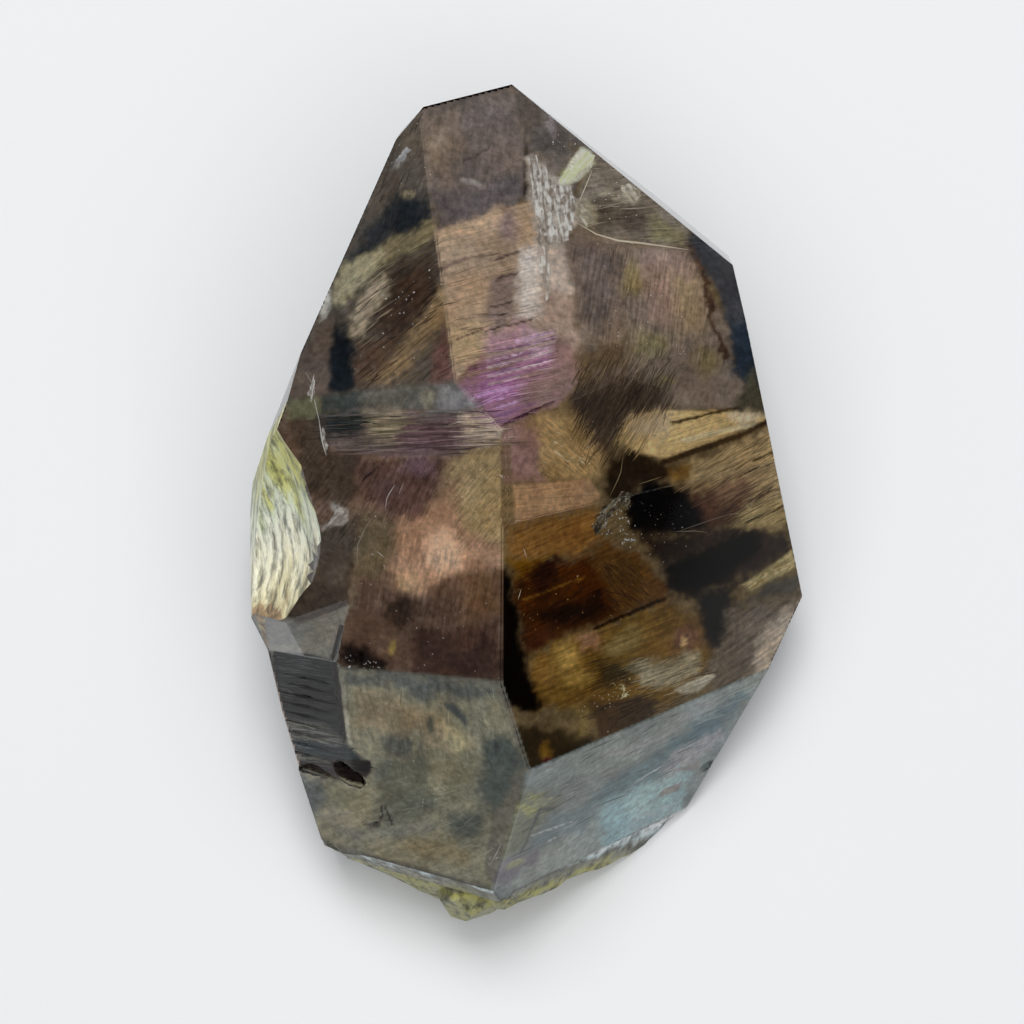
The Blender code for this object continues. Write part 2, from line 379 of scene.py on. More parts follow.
# %% [markdown]
# ## The room
#
# The crystal lies on a plain pale table under one big soft light overhead, like the light tents
# used for stones. Quartz mirrors a few percent of whatever its faces point at, so the room round
# it is kept dim, and the faces stay dark and deep.

# %% Table, light and air
TABLE_HALF = 3.0              # metres
TABLE_DROP = 0.00005          # metres under the stone, so that the two surfaces do not share a plane
table = bpy.data.meshes.new("table")
corners = [(x * TABLE_HALF, y * TABLE_HALF, -TABLE_DROP) for x, y in ((-1, -1), (1, -1), (1, 1), (-1, 1))]
table.from_pydata(corners, [], [(0, 1, 2, 3)])
table_top = bpy.data.objects.new("table_top", table)
bpy.context.scene.collection.objects.link(table_top)
matt, tree, shader = new_material("matt_paper")
shader.inputs["Base Color"].default_value = (*linear("#e7e8e9"), 1.0)
shader.inputs["Roughness"].default_value = 0.9
shader.inputs["Specular IOR Level"].default_value = 0.1
table.materials.append(matt)


def soft_light(name, place, size, watts):
    """A square area light, turned so that it shines from its place on the stone."""
    data = bpy.data.lights.new(name, "AREA")
    data.size = size
    data.energy = watts
    light = bpy.data.objects.new(name, data)
    light.location = place
    light.rotation_mode = "QUATERNION"
    light.rotation_quaternion = (-Vector(place)).to_track_quat("-Z", "Y")
    bpy.context.scene.collection.objects.link(light)


soft_light("overhead", place=(0.0, 0.1, 1.1), size=1.6, watts=9.5)
soft_light("window_side", place=(-0.1, 1.1, 1.9), size=0.9, watts=24.0)

DIM = 0.03                    # light from the walls, at eye level of the stone
BRIGHT = 0.35                 # light from the ceiling
WALL_TOP = 0.5                # heights of a direction at which the walls end and the ceiling starts
CEILING = 0.8
air = bpy.data.worlds.new("air")
air.use_nodes = True
tree = air.node_tree
sky = add(tree, "ShaderNodeTexCoord")
height = add(tree, "ShaderNodeSeparateXYZ", Vector=sky.outputs["Generated"])
level = add(tree, "ShaderNodeMapRange", Value=height.outputs["Z"], From_Min=WALL_TOP, From_Max=CEILING,
            To_Min=DIM, To_Max=BRIGHT)
tree.nodes["Background"].inputs["Color"].default_value = (*linear("#eef2f6"), 1.0)
tree.links.new(level.outputs[0], tree.nodes["Background"].inputs["Strength"])
bpy.context.scene.world = air
bpy.context.scene.view_settings.view_transform = "Standard"

# %% [markdown]
# ## The clear stone
#
# A copy of the solid becomes the glassy outside. Quartz has a refractive index of 1.544, and
# smoky stone drinks light evenly all the way through, so its smoke is an absorption per metre.
# The mirror sheen of its faces is held back: a pale room would lay a grey haze over the colours.
# The sheen that the two lower faces show is painted into the colour layers instead.

# %% Outer stone
SMOKE_DENSITY = 55.0          # absorption per metre of stone, before its colour
SHEEN = 0.04                  # share of the mirror sheen that is kept where a face is looked at squarely
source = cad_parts[NODE]
skin = source.data.copy()
skin.name = "clear_stone"
crystal = bpy.data.objects.new("clear_stone", skin)
bpy.context.scene.collection.objects.link(crystal)
quartz, tree, shader = new_material("smoky_quartz")
shader.inputs["Base Color"].default_value = (0.97, 0.97, 0.96, 1.0)
shader.inputs["Roughness"].default_value = 0.03
shader.inputs["IOR"].default_value = QUARTZ_IOR
shader.inputs["Transmission Weight"].default_value = 1.0
shader.inputs["Specular Tint"].default_value = (SHEEN, SHEEN, SHEEN, 1.0)
smoke = add(tree, "ShaderNodeVolumeAbsorption", Color=(*linear("#b59a86"), 1.0), Density=SMOKE_DENSITY)
output = tree.nodes["Material Output"]
tree.links.new(smoke.outputs[0], output.inputs["Volume"])
skin.materials.clear()
skin.materials.append(quartz)

STAIN_GRAIN = 1.923 * MM      # metres
GROOVE_GRAIN = 0.7143 * MM
SQUEEZE = 0.28                # along the stone this much of the pattern, so that grooves are longer than wide
SLANT = 0.25                  # radians that the grooves are turned by
WANDER = 0.2                  # share of the ramp by which the tones stray
RELIEF = 0.3 * MM             # metres


def fracture(name, stops, low_y, high_y, fold=0.0, lean=0.0):
    """Broken, weathered quartz: tones run along y - lean |x - fold|, with stains and painted shade in grooves.
    """
    material, tree, shader = new_material(name)
    place = add(tree, "ShaderNodeTexCoord")
    drawn_out = add(tree, "ShaderNodeMapping", Vector=place.outputs["Object"], Rotation=(0.0, 0.0, SLANT),
                    Scale=(1.0, SQUEEZE, 1.0))
    stain = add(tree, "ShaderNodeTexNoise", Vector=drawn_out, Scale=1.0 / STAIN_GRAIN, Detail=5.0,
                Roughness=0.6)
    grooves = add(tree, "ShaderNodeTexNoise", Vector=drawn_out, Scale=1.0 / GROOVE_GRAIN, Detail=5.0,
                  Roughness=0.7)
    where = add(tree, "ShaderNodeSeparateXYZ", Vector=place.outputs["Object"])
    aside = add(tree, "ShaderNodeMath", {"operation": "SUBTRACT"}, _0=where.outputs["X"], _1=fold * MM)
    apart = add(tree, "ShaderNodeMath", {"operation": "ABSOLUTE"}, _0=aside)
    across = add(tree, "ShaderNodeMath", {"operation": "MULTIPLY_ADD"}, _0=apart, _1=-lean,
                 _2=where.outputs["Y"])
    along = add(tree, "ShaderNodeMapRange", {"clamp": False}, Value=across, From_Min=low_y * MM,
                From_Max=high_y * MM)
    strays = add(tree, "ShaderNodeMapRange", {"clamp": False}, Value=stain, From_Min=NOISE_LOW,
                 From_Max=NOISE_HIGH, To_Min=-WANDER, To_Max=WANDER)
    level = add(tree, "ShaderNodeMath", {"operation": "ADD"}, _0=along, _1=strays)
    crust = add(tree, "ShaderNodeValToRGB", Fac=level)
    for spot, hex_colour in stops:
        crust.color_ramp.elements.new(spot).color = (*linear(hex_colour), 1.0)
    crust.color_ramp.elements.remove(crust.color_ramp.elements[0])
    crust.color_ramp.elements.remove(crust.color_ramp.elements[-1])
    # painted shade: the crust is darker where the groove noise, which also drives the bump, is low
    shade = add(tree, "ShaderNodeMapRange", Value=grooves, From_Min=0.38, From_Max=0.56,
                To_Min=0.28, To_Max=1.22)
    colour = add(tree, "ShaderNodeVectorMath", {"operation": "SCALE"}, _0=crust, Scale=shade)
    relief = add(tree, "ShaderNodeBump", Strength=0.8, Distance=RELIEF, Height=grooves)
    tree.links.new(colour.outputs[0], shader.inputs["Base Color"])
    tree.links.new(relief.outputs[0], shader.inputs["Normal"])
    shader.inputs["Roughness"].default_value = 0.38
    return material


skin.materials.append(fracture("weathered_scar", (
    (0.0, "#a08562"), (0.07, "#cfc59b"), (0.2, "#e8e2c2"), (0.36, "#e8e8d4"), (0.5, "#d4dcc2"),
    (0.62, "#cdce88"), (0.8, "#c6c567"), (0.98, "#ddd3a0")), low_y=-8.0, high_y=9.0))
skin.materials.append(fracture("weathered_root", (
    (0.0, "#9c9a66"), (0.22, "#9d9b74"), (0.4, "#aeaa5c"), (0.52, "#8f8d79"), (0.66, "#7a796c"),
    (0.8, "#cbd8d9"), (1.0, "#a4bcbd")), low_y=-31.0, high_y=-27.5, fold=-2.56, lean=0.27))

SCAR = np.array([(-19.5, 9.0), (-17.8, 7.6), (-16.4, 4.2), (-15.7, 1.4), (-14.6, -1.4), (-15.6, -3.6),
                 (-16.0, -6.2), (-17.2, -7.2), (-18.4, -8.4), (-22.0, -8.4), (-22.0, 9.0)])
SCAR_FOOT = 3.0               # millimetres over the table where the scar ends
BASE_LINE = -22.0             # broken faces on this side of the line are the broken root
SAME_WAY = 0.999              # cosine between facets that look the same way
SAME_PLANE = 0.08             # millimetres between facets that count as one plane
LEFTWARD = -0.9               # facets that look further left than this are the scar's own side
facets = np.array([tuple(face.normal) + tuple(face.center / MM) for face in skin.polygons])
way_of = facets[:, :3]
centre = facets[:, 3:]
flush = ((way_of @ normals.T > SAME_WAY) & (abs(centre @ normals.T - offsets) < SAME_PLANE)).any(1)
side = way_of[:, 0] < LEFTWARD
scarred = within(centre[:, :2], SCAR) & (centre[:, 2] > SCAR_FOOT) & (~flush | side)
rooted = (centre[:, 1] < BASE_LINE) & ~flush
skin.polygons.foreach_set("material_index", np.where(rooted, 2, scarred.astype(int)))
print(scarred.sum(), "faces in the scar and", rooted.sum(), "on the root")
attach(crystal, "root")
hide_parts(NODE)
print("outer stone:", len(skin.polygons), "faces")

# %% [markdown]
# ## Reading a drawing list
#
# What lies inside the stone was drawn face by face, in six close views of the finished picture,
# with one line of text for each mark. Two letters alone in a line name the view that the lines
# under it are read in. A line gives what the mark is, and after a bar its places as x,y in steps
# of that view, counted from its upper left corner. So a mark is easy to move: it is read off the
# view again. Where the places are the same as in the line above, the line says so. This function
# turns the steps into millimetres on the plan.

# %% Close views, and their steps in millimetres
SENSOR = 36.0                 # millimetres
FRAME = 1024.0                # dots across the finished picture
DOT = (EYE[2] - LEVEL) * SENSOR / LENS / FRAME
VIEWS = {                     # left and upper edge in dots of the picture, and how far it is enlarged
    "UL": (250, 70, 4.238), "UR": (500, 70, 4.238),
    "ML": (240, 370, 4.7515), "MR": (480, 370, 4.6118),
    "LL": (240, 620, 4.9), "LR": (470, 620, 4.7515),
}


def drawn(text):
    """For each line of a drawing list: its words, and in millimetres its places, its sizes and one step."""
    for line in text.strip().splitlines():
        if line in VIEWS:
            left, upper, enlarged = VIEWS[line]
            step = DOT / enlarged
            corner = EYE[:2] + (np.array([left, upper]) - 0.5 * FRAME) * (DOT, -DOT)
            continue
        words, tail = line.split("|")
        if tail.strip() != "same":
            pairs = np.array([pair.split(",") for pair in tail.split()], float)
        yield words.split(), corner + pairs * (step, -step), pairs * step, step


print("a dot of the picture is", round(DOT, 4), "mm on the plan")

# %% [markdown]
# ## Zones of colour
#
# Each growing face laid down its own layers, so the colours change sharply from face to face; on the
# two lower faces a painted sheen adds to the change. A line is a shape, its colour, its softness, for
# an oval also its turn in degrees and for a band its width. Later lines are painted over earlier ones,
# from the broad tones to the accents.

# %% Zones, face by face
# the upper left face; the pale grey oval near its top is a painted highlight on a flake
UPPER_LEFT = """
UL
patch #232527 26 | 370,860 770,620 760,560 690,490 600,560 500,640 430,760
oval #181c20 40 20 | 680,600 70,85
oval #8b8a88 20 40 | 640,362 52,14
oval #6a5f4a 10 0 | 670,515 16,16
patch #665c45 10 | 385,862 775,622 790,700 700,760 560,830 480,900 430,960 382,985
patch #958b6c 22 | 380,900 385,862 560,760 580,790 500,880 440,950 385,985
patch #30251e 40 | 560,880 790,760 825,930 760,1060 640,1130 520,1110 510,1000
patch #a08f74 14 | 432,1130 440,1060 480,970 560,900 600,870 560,960 500,1040 470,1110
patch #755e42 24 | 822,930 846,1060 700,1190 620,1290 560,1330 500,1330 620,1180 740,1050
patch #46352a 30 | 460,1150 640,1130 560,1250 500,1330 450,1340
patch #543b36 14 | 850,1080 865,1312 750,1325 785,1180
patch #12161a 14 | 365,1050 420,1130 452,1150 450,1360 335,1372 350,1200
patch #4b4039 14 | 340,1040 362,1060 345,1200 333,1372 130,1390 230,1180
oval #b5b0a4 14 -22 | 332,985 14,55
patch #4a443e 26 | 640,250 720,160 750,480 690,500 620,470
patch #8c7a66 10 | 440,1125 470,1010 530,900 560,900 500,1030
"""
# the two faces on the right, which share their layers; the small pale oval on the dark red spot low
# on the right face is a painted highlight
RIGHT = """
UL
patch #564d48 12 | 700,160 1100,40 1175,120 1175,560 785,700
patch #6b5e53 30 | 735,200 900,180 890,400 755,420
patch #5f5550 26 | 900,160 1140,90 1160,420 960,460
patch #474345 24 | 780,520 1165,450 1165,552 790,688
oval #8d857d 8 -14 | 945,480 48,9
band #443e3b 10 12 | 905,400 1015,342
patch #89725d 6 | 788,690 1192,552 1215,740 1240,930 1300,1110 1000,1200 868,1310 830,950 800,800
patch #a88c72 18 | 790,690 1060,598 1040,660 800,760
oval #6a5955 20 10 | 1092,660 45,60
patch #665852 16 | 1010,880 1140,860 1130,1060 1000,1080
patch #8d735c 20 | 820,880 1000,870 1000,1040 850,1060
patch #cbbcb0 16 | 1150,760 1240,750 1245,1060 1150,1050 1140,900
patch #9a8060 25 | 840,1060 1000,1080 980,1200 868,1240
patch #946f78 25 | 1010,1110 1180,1070 1180,1180 1000,1190
oval #3d2a22 14 10 | 965,1262 46,16
band #33272a 6 9 | 1040,803 1142,770
band #5b4a42 8 14 | 800,850 910,800
band #33272a 6 9 | 1045,885 1140,857
band #33272a 5 8 | 1008,1006 1112,980
band #33272a 5 8 | 1000,1108 1190,1058
band #4c3733 5 7 | 880,1140 1000,1095
patch #7b5466 24 | 980,1200 1290,1120 1330,1250 1320,1390 1060,1520 870,1325 930,1290
patch #815072 22 | 1050,1260 1270,1190 1290,1260 1180,1340 1000,1400 950,1350
patch #a58292 16 | 1180,1110 1290,1120 1290,1200 1200,1220
band #c79bbf 5 14 | 1130,1150 1290,1105
band #5c4258 5 9 | 1040,1195 1290,1140
band #cfaec2 4 8 | 1010,1300 1290,1232
band #5f4363 5 10 | 990,1288 1230,1240
band #b07aa6 6 18 | 950,1385 1170,1330
band #d3b4c9 4 6 | 1000,1238 1150,1200
band #8a7468 6 16 | 1000,1215 1290,1150
band #b9a5a8 5 9 | 1010,1262 1290,1192
band #6f544c 6 14 | 930,1292 1130,1245
band #947a74 6 11 | 1010,1335 1290,1262
band #7c5560 6 12 | 1000,1425 1230,1360
band #6a4a68 6 14 | 1050,1470 1290,1375
band #a77da6 5 9 | 1040,1440 1280,1345
UR
patch #735650 25 | 220,1180 320,1140 345,1260 300,1390 230,1400
UL
band #2a1620 4 12 | 1058,1512 1290,1402
UR
patch #4a4440 14 | 60,10 130,50 440,290 390,340 345,500 325,560 300,480 320,330 240,480 165,350 115,355 108,250
patch #241e1c 8 | 110,250 118,360 140,548 98,550 104,330
oval #6f6564 14 10 | 222,240 18,60
oval #5a5048 30 -20 | 210,410 40,60
patch #978b7f 12 | 113,362 160,350 230,480 300,490 330,560 325,650 290,720 262,745 160,745 150,700 130,500
patch #a89689 20 | 150,745 285,735 310,850 318,950 170,960
patch #8a7467 25 | 170,960 318,950 350,1190 240,1120 165,1060
patch #dfdebf 8 | 345,330 410,352 400,420 330,470 255,492 248,468 310,380
oval #b6bf74 10 0 | 285,462 28,26
patch #615950 10 | 380,350 430,280 1020,740 965,800 850,700 810,760 690,750 520,725 400,695 325,640 \
    330,560 370,500
patch #474039 22 | 390,545 560,560 640,600 620,690 480,680 380,640
oval #8a8272 12 0 | 470,522 90,10
oval #b0a792 14 -50 | 558,530 38,26
oval #8a7f68 16 20 | 370,600 40,50
patch #6b6248 20 | 640,620 800,700 800,750 660,735
patch #64564a 8 | 290,722 330,645 400,697 520,727 690,752 800,762 830,830 860,900 980,1100 990,1280 \
    1100,1400 990,1430 700,1440 640,1460 540,1380 400,1300 330,1100 310,850
patch #544a45 30 | 300,740 500,740 520,1000 420,1100 330,1080
oval #6a5d40 34 0 | 562,880 40,60
patch #7a6357 30 | 610,770 790,780 850,900 820,1060 620,1060
oval #856e62 20 0 | 700,800 60,40
patch #75634c 30 | 740,880 850,900 860,1100 760,1110
oval #695e42 34 0 | 630,1160 70,50
oval #6c5e40 26 0 | 705,1310 42,26
oval #695b40 30 30 | 880,1230 60,60
patch #4a3b2b 30 | 330,1180 540,1140 560,1290 400,1290
patch #3d2a20 14 | 800,700 850,740 870,860 830,850
band #33251c 14 22 | 852,850 885,1010
band #33251c 16 24 | 885,1010 960,1210
patch #2b2c30 12 | 800,680 1060,740 1130,1080 1190,1330 1080,1410 1000,1290 978,1100 905,950 855,850
patch #1d242c 16 | 985,1050 1110,1060 1170,1290 1070,1390 1000,1290
patch #38352b 16 | 1062,1270 1095,1280 1140,1480 930,1450 1010,1410
MR
patch #40342a 24 | 440,60 640,20 820,60 900,150 860,190 720,210 640,320 560,400 480,300 430,180
patch #6b544f 24 | 200,0 470,0 440,100 330,150 210,170
patch #7d5c54 26 | 90,270 300,250 290,520 150,520
patch #96764c 22 | 280,220 470,200 540,330 540,480 300,500
patch #d6aa6a 8 | 700,212 860,182 1000,188 1140,186 1310,213 1326,226 1240,245 1130,300 930,372 850,402 \
    720,380 640,320
patch #d6b083 18 | 700,215 880,190 870,290 700,290
patch #d2b78f 12 | 1140,190 1315,213 1240,243 1150,230
band #e2c48c 8 22 | 930,322 1230,250
band #2e2214 8 16 | 880,243 1180,172
band #2c2013 7 26 | 830,425 1190,300
band #2c2013 6 22 | 1190,300 1326,232
patch #9d7f55 12 | 950,445 1180,332 1332,280 1362,350 1384,430 1412,560 1250,610 1100,560 980,560 960,500
patch #5f4430 24 | 1000,520 1250,490 1260,600 1200,680 1060,640
patch #937c50 14 | 1180,640 1420,560 1425,700 1250,740 1150,720
band #2b2013 6 14 | 1255,412 1356,368
band #2b2013 6 8 | 1200,480 1370,415
band #3a2818 6 9 | 1180,610 1410,540
band #2b2013 6 12 | 1230,700 1428,610
patch #906b4c 5 | 143,527 330,517 500,500 545,590 480,622 250,670 155,702
band #3b2113 4 9 | 155,700 480,626
patch #674520 22 | 140,720 540,620 560,760 500,850 330,870 130,860
patch #573808 20 | 110,870 330,860 300,960 170,980
patch #301604 22 | 150,960 560,840 760,900 870,1010 850,1050 700,1100 540,1180 350,1260 190,1270 160,1060
patch #1d0b05 14 | 240,900 390,870 360,960 290,1010 250,980
patch #170a04 20 | 260,1120 560,1020 590,1080 520,1170 330,1200
band #58370f 5 9 | 200,1062 480,960
patch #4a3014 20 | 560,760 760,900 860,1010 830,1060 640,1130 600,1000 520,880
patch #30170a 20 | 200,1200 360,1180 340,1260 200,1280
patch #1c130b 16 | 590,385 700,375 870,395 905,450 870,520 720,540 690,600 600,580 570,480
patch #281b12 30 | 940,520 1060,600 1160,650 1180,700 1060,760 980,760 900,700
patch #050404 12 | 700,565 760,512 880,520 950,560 1040,640 1080,690 1000,742 900,772 760,768 702,752 686,650
patch #5f4420 12 | 880,450 965,440 965,500 900,500
patch #42291c 30 | 990,560 1180,640 1130,700 1060,700
patch #1b130e 24 | 740,750 900,768 1100,716 1210,735 1110,800 960,870 860,912 780,860
patch #1f1711 26 | 840,905 1080,760 1260,725 1430,740 1455,830 1330,900 1230,985 1140,1020 960,1040 870,1015
patch #070504 18 | 862,905 960,862 1090,800 1200,742 1290,745 1280,850 1180,950 1060,1010 960,1030 875,1002
patch #15100c 22 | 1000,1030 1150,1010 1170,1150 1050,1330 1000,1180
patch #121110 26 | 1010,1050 1140,1020 1200,1100 1130,1300 1040,1350
patch #a08b5a 9 | 1215,990 1440,835 1453,905 1330,975 1250,1012
patch #3d3932 16 | 1330,985 1477,925 1481,1042 1340,1050 1180,1090
patch #52483d 24 | 1150,1120 1480,1040 1480,1080 1330,1392 1200,1452 1070,1502 1050,1340 1140,1200
patch #a5917c 18 | 1290,1230 1420,1090 1470,1090 1330,1390 1230,1425
band #3a1018 6 17 | 1482,1080 1332,1390
patch #594019 25 | 225,1300 420,1240 530,1200 860,1060 980,1180 1060,1330 1000,1450 800,1560 240,1560
patch #040201 14 | 20,885 110,890 150,970 168,1100 195,1280 225,1400 300,1560 0,1560
oval #86652f 40 0 | 380,1330 60,60
oval #7f5f2a 30 20 | 450,1420 60,36
oval #6f4f24 30 20 | 300,1400 40,60
oval #80583c 20 20 | 505,1255 60,38
oval #6c5730 34 20 | 655,1250 90,45
patch #2e2410 22 | 545,1360 720,1340 700,1450 560,1460
patch #83765a 20 | 700,1350 1000,1310 1010,1420 760,1450
band #1c1006 6 17 | 525,1193 850,1052
oval #5c3f2e 22 -10 | 935,1245 66,54
oval #d09c66 10 0 | 926,1264 18,16
patch #aaa086 8 | 898,1474 1050,1402 1088,1410 1000,1482 940,1492
LR
patch #241c10 16 | 175,500 560,560 620,640 280,742 240,690
patch #35281a 18 | 560,380 900,370 880,470 600,600
oval #5f4416 10 0 | 345,625 26,38
oval #3a1418 8 0 | 368,668 22,18
patch #6b5a34 16 | 480,420 560,420 540,560 500,580
"""
# the left face
LEFT = """
ML
patch #4d4b45 6 | 390,108 1020,55 1055,70 1150,170 1175,192 800,190 600,202 390,212
patch #343836 14 | 395,108 575,96 570,200 395,210
oval #7b7360 20 -40 | 885,130 44,24
patch #74706f 16 | 940,70 1060,80 1140,180 950,190
patch #5a5a44 12 | 190,205 215,120 390,110 400,210 240,242
patch #5f5350 10 | 390,212 800,190 1172,190 1230,270 1262,350 1000,405 700,405 430,392
patch #262b2c 16 | 395,212 570,205 580,320 420,330
patch #94866c 20 | 590,215 760,200 740,330 610,320
patch #574244 22 | 760,230 1030,215 1020,390 700,395
patch #b59e88 20 | 1040,205 1190,205 1250,340 1080,370
patch #3a312a 18 | 235,242 400,225 430,392 560,425 560,560 500,640 400,640 335,560 278,400
patch #47342f 24 | 560,440 950,430 960,520 880,700 700,700 580,600
oval #5a4448 24 0 | 850,455 70,40
patch #86704e 24 | 1000,430 1255,350 1282,480 1294,700 1262,860 1080,800 980,600
patch #6d5540 26 | 960,520 1060,480 1060,700 1000,760 930,660
patch #967058 26 | 720,740 880,700 1000,600 1080,800 1250,860 1240,930 1080,930 960,1000 880,1060 \
    780,1020 700,880
patch #d8a583 22 | 860,800 960,760 1060,830 1050,930 950,980 880,900
oval #a57d5b 22 0 | 800,1000 60,50
patch #564a38 26 | 560,680 720,740 760,850 660,1000 560,980 540,850
patch #39312a 16 | 370,765 560,680 540,900 520,1120 240,1224 165,1195 290,1000 270,930
patch #443c34 26 | 400,800 540,740 520,960 440,1060 380,960
oval #a8a298 10 20 | 465,685 30,44
oval #8b7f73 10 10 | 430,740 40,18
patch #4d3b30 22 | 515,1122 560,1000 700,1020 860,1080 1080,960 1245,960 1245,1200 1262,1400 1215,1507 \
    500,1417 462,1402
patch #56402f 26 | 1040,960 1230,940 1235,1150 1080,1180
patch #1a1412 16 | 470,1400 500,1300 600,1320 690,1390 680,1440 500,1417
patch #362721 26 | 830,1230 1220,1220 1240,1420 1200,1500 820,1450
patch #2e231c 18 | 700,1090 840,1080 860,1180 760,1220 700,1180
oval #7a6436 8 -15 | 722,1320 14,36
patch #6a5a48 12 | 545,850 570,850 540,1110 518,1110
band #1d1615 4 10 | 582,520 655,455
"""
# the ledge
LEDGE = """
ML
patch #7b7465 4 | 62,1170 160,1200 240,1226 517,1120 480,1262 458,1392 430,1345 350,1345 200,1342 \
    150,1332 85,1275
patch #6f6f68 20 | 70,1180 240,1230 330,1230 260,1310 100,1280
oval #9a9484 14 -6 | 200,1325 90,14
LL
patch #141414 6 | 155,150 350,165 430,190 480,240 492,330 500,400 520,600 500,612 380,585 215,560 170,380
patch #080606 14 | 300,330 480,330 500,420 400,460 200,420 190,340
patch #33322d 10 | 205,470 400,500 515,590 505,608 380,588 215,565
patch #262d2f 10 | 215,568 520,615 560,640 600,690 420,690 240,640
patch #1f1918 8 | 430,700 560,680 640,690 640,745 600,800 520,800 420,760 240,700 240,680
oval #120d0c 8 0 | 610,715 30,28
"""
# the lower left face and the strip under the ledge; the face's grey and teal tones are partly its own
# colour and partly a painted sheen
LOWER_LEFT_WITH_SHEEN = """
LL
patch #7d7862 8 | 480,245 1255,330 1372,640 1240,930 1200,1210 1240,1310 400,1082 250,700 440,790 600,800 \
    650,745 640,690 560,640 520,600 490,330
patch #525450 18 | 480,245 1255,330 1275,400 900,380 640,310 500,300
patch #85755a 22 | 560,330 720,350 900,440 1000,480 1130,610 1050,665 900,640 700,545 570,520
patch #a99a70 12 | 1000,500 1060,540 1132,612 1060,650 1010,600
patch #3e4344 9 | 1000,405 1050,410 1112,480 1112,540 1080,490 1010,440
patch #43453c 7 | 925,470 945,475 945,545 925,555 912,520
patch #50504a 18 | 700,555 880,560 900,650 780,680 700,630
patch #55564a 24 | 640,720 900,660 1000,900 900,1010 700,1000
patch #706b55 24 | 900,650 1130,660 1180,800 1060,900 920,850
oval #7f7b62 14 -20 | 960,815 60,40
oval #8a846c 12 -10 | 860,600 16,50
patch #3f4643 30 | 1190,560 1350,560 1385,700 1240,930 1170,880
patch #4a4e47 26 | 1010,940 1200,900 1190,1080 1040,1080
patch #7a6d50 20 | 780,1085 1030,1095 1110,1150 1090,1200 900,1160
patch #4e5250 20 | 265,740 420,780 420,900 340,980 300,900
patch #69664f 18 | 420,800 600,830 660,900 560,940 430,900
patch #6e6c60 12 | 400,1000 700,1010 1000,1000 900,1060 500,1060
patch #3f3f3a 8 | 590,995 700,970 690,1010 640,1020
band #2b2725 3 7 | 690,905 702,960
band #2b2725 3 7 | 702,960 650,1008
band #2b2725 3 9 | 710,912 746,1000
band #8f8b7c 5 7 | 370,955 560,940
patch #97907c 3 | 478,245 492,330 505,420 520,600 545,620 528,480 508,300
"""
# the lower right face; its grey, teal and cyan tones are partly its own colour and partly a painted
# reflection of the pale table
LOWER_RIGHT_WITH_SHEEN = """
LR
patch #778480 10 | 275,742 1300,300 1420,240 1250,450 870,650 560,745 300,790
patch #8c9290 20 | 620,640 900,520 1150,390 1130,450 760,640
patch #4c656e 14 | 480,905 870,645 1100,490 1290,345 1330,360 1180,525 1060,645 760,835 560,945
patch #3f5d66 20 | 960,560 1120,470 1160,500 1060,600 960,640
band #c2d0d2 3 5 | 742,802 970,652
patch #9a979b 14 | 960,650 1180,530 1190,560 1060,700 990,760 900,720
patch #8fb9c0 20 | 560,905 820,800 1000,720 1060,745 960,985 830,1080 640,1150 560,1110 620,1000
patch #a6d0da 24 | 780,930 980,860 970,960 850,1070 720,1110
patch #6f6a66 5 | 978,712 1095,672 1085,705 1030,718
patch #7c7775 5 | 893,846 920,800 1012,762 985,810
patch #8d968d 22 | 370,1060 620,905 650,1150 450,1205 180,1265
patch #6b6d58 16 | 100,1190 180,920 250,830 430,820 410,920 260,1080 150,1190
oval #a3a25c 14 30 | 290,885 55,28
patch #5d6a6c 18 | 400,900 640,880 540,1000 330,1090 260,1100
patch #625d65 14 | 90,1180 330,1080 350,1120 180,1262 100,1262
oval #8f8f68 8 25 | 215,1160 45,16
band #3a3e37 5 10 | 400,896 335,895
band #3a3e37 5 11 | 335,895 270,1050
band #3a3e37 5 9 | 270,1050 240,1110
band #c9cfcb 3 4 | 285,1028 480,960
band #bfc5c0 3 4 | 360,1055 430,1028
band #35393f 4 7 | 700,1102 840,1030
"""
FACES = [
    # zones, colour under them, and a place on each face that they belong to, in millimetres
    (UPPER_LEFT, "#423c36", [(-10.0, 18.0)]),
    (RIGHT, "#55462f", [(2.0, 18.0), (7.0, -6.0)]),
    (LEFT, "#5a463a", [(-7.0, -3.0)]),
    (LOWER_LEFT_WITH_SHEEN, "#5f5c51", [(-8.0, -19.0), (-17.0, -20.0)]),
    (LOWER_RIGHT_WITH_SHEEN, "#6b7472", [(5.0, -22.0)]),
]
CRISP = 0.15                  # millimetres: edges sharper than this are real steps, and stay as they are
SOFTEN = 2.3                  # how much wider the other edges are eased
SMALL_SHIFTS = ((0.07, 0.5), (0.12, 2.2))     # shift and grain of the noise along real steps, in millimetres
LARGE_SHIFTS = ((0.35, 0.5), (0.6, 2.0))      # and along soft edges
SOFTEST = 0.9                 # no oval or band is eased over more than this share of its size
FRAY = 1.5                    # how strongly soft edges are frayed
GRIT = 0.3                    # millimetres: size of the ragged bits along them
STEP_SEED = 5                 # seeds for real steps, soft edges and grit: others give other patterns
EDGE_SEED = 25
GRIT_SEED = 90
FACE_EDGE = 0.05              # millimetres of height over which one face gives way to the next


def shifted(plan, shifts, seed):
    """The plan shifted by noise, which makes painted edges uneven."""
    moved = plan.copy()
    for turn, (shift, grain) in enumerate(shifts):
        for axis in (0, 1):
            moved[..., axis] += shift * cloud(on_plan(plan), grain, seed + 2 * turn + axis, octaves=5)
    return moved


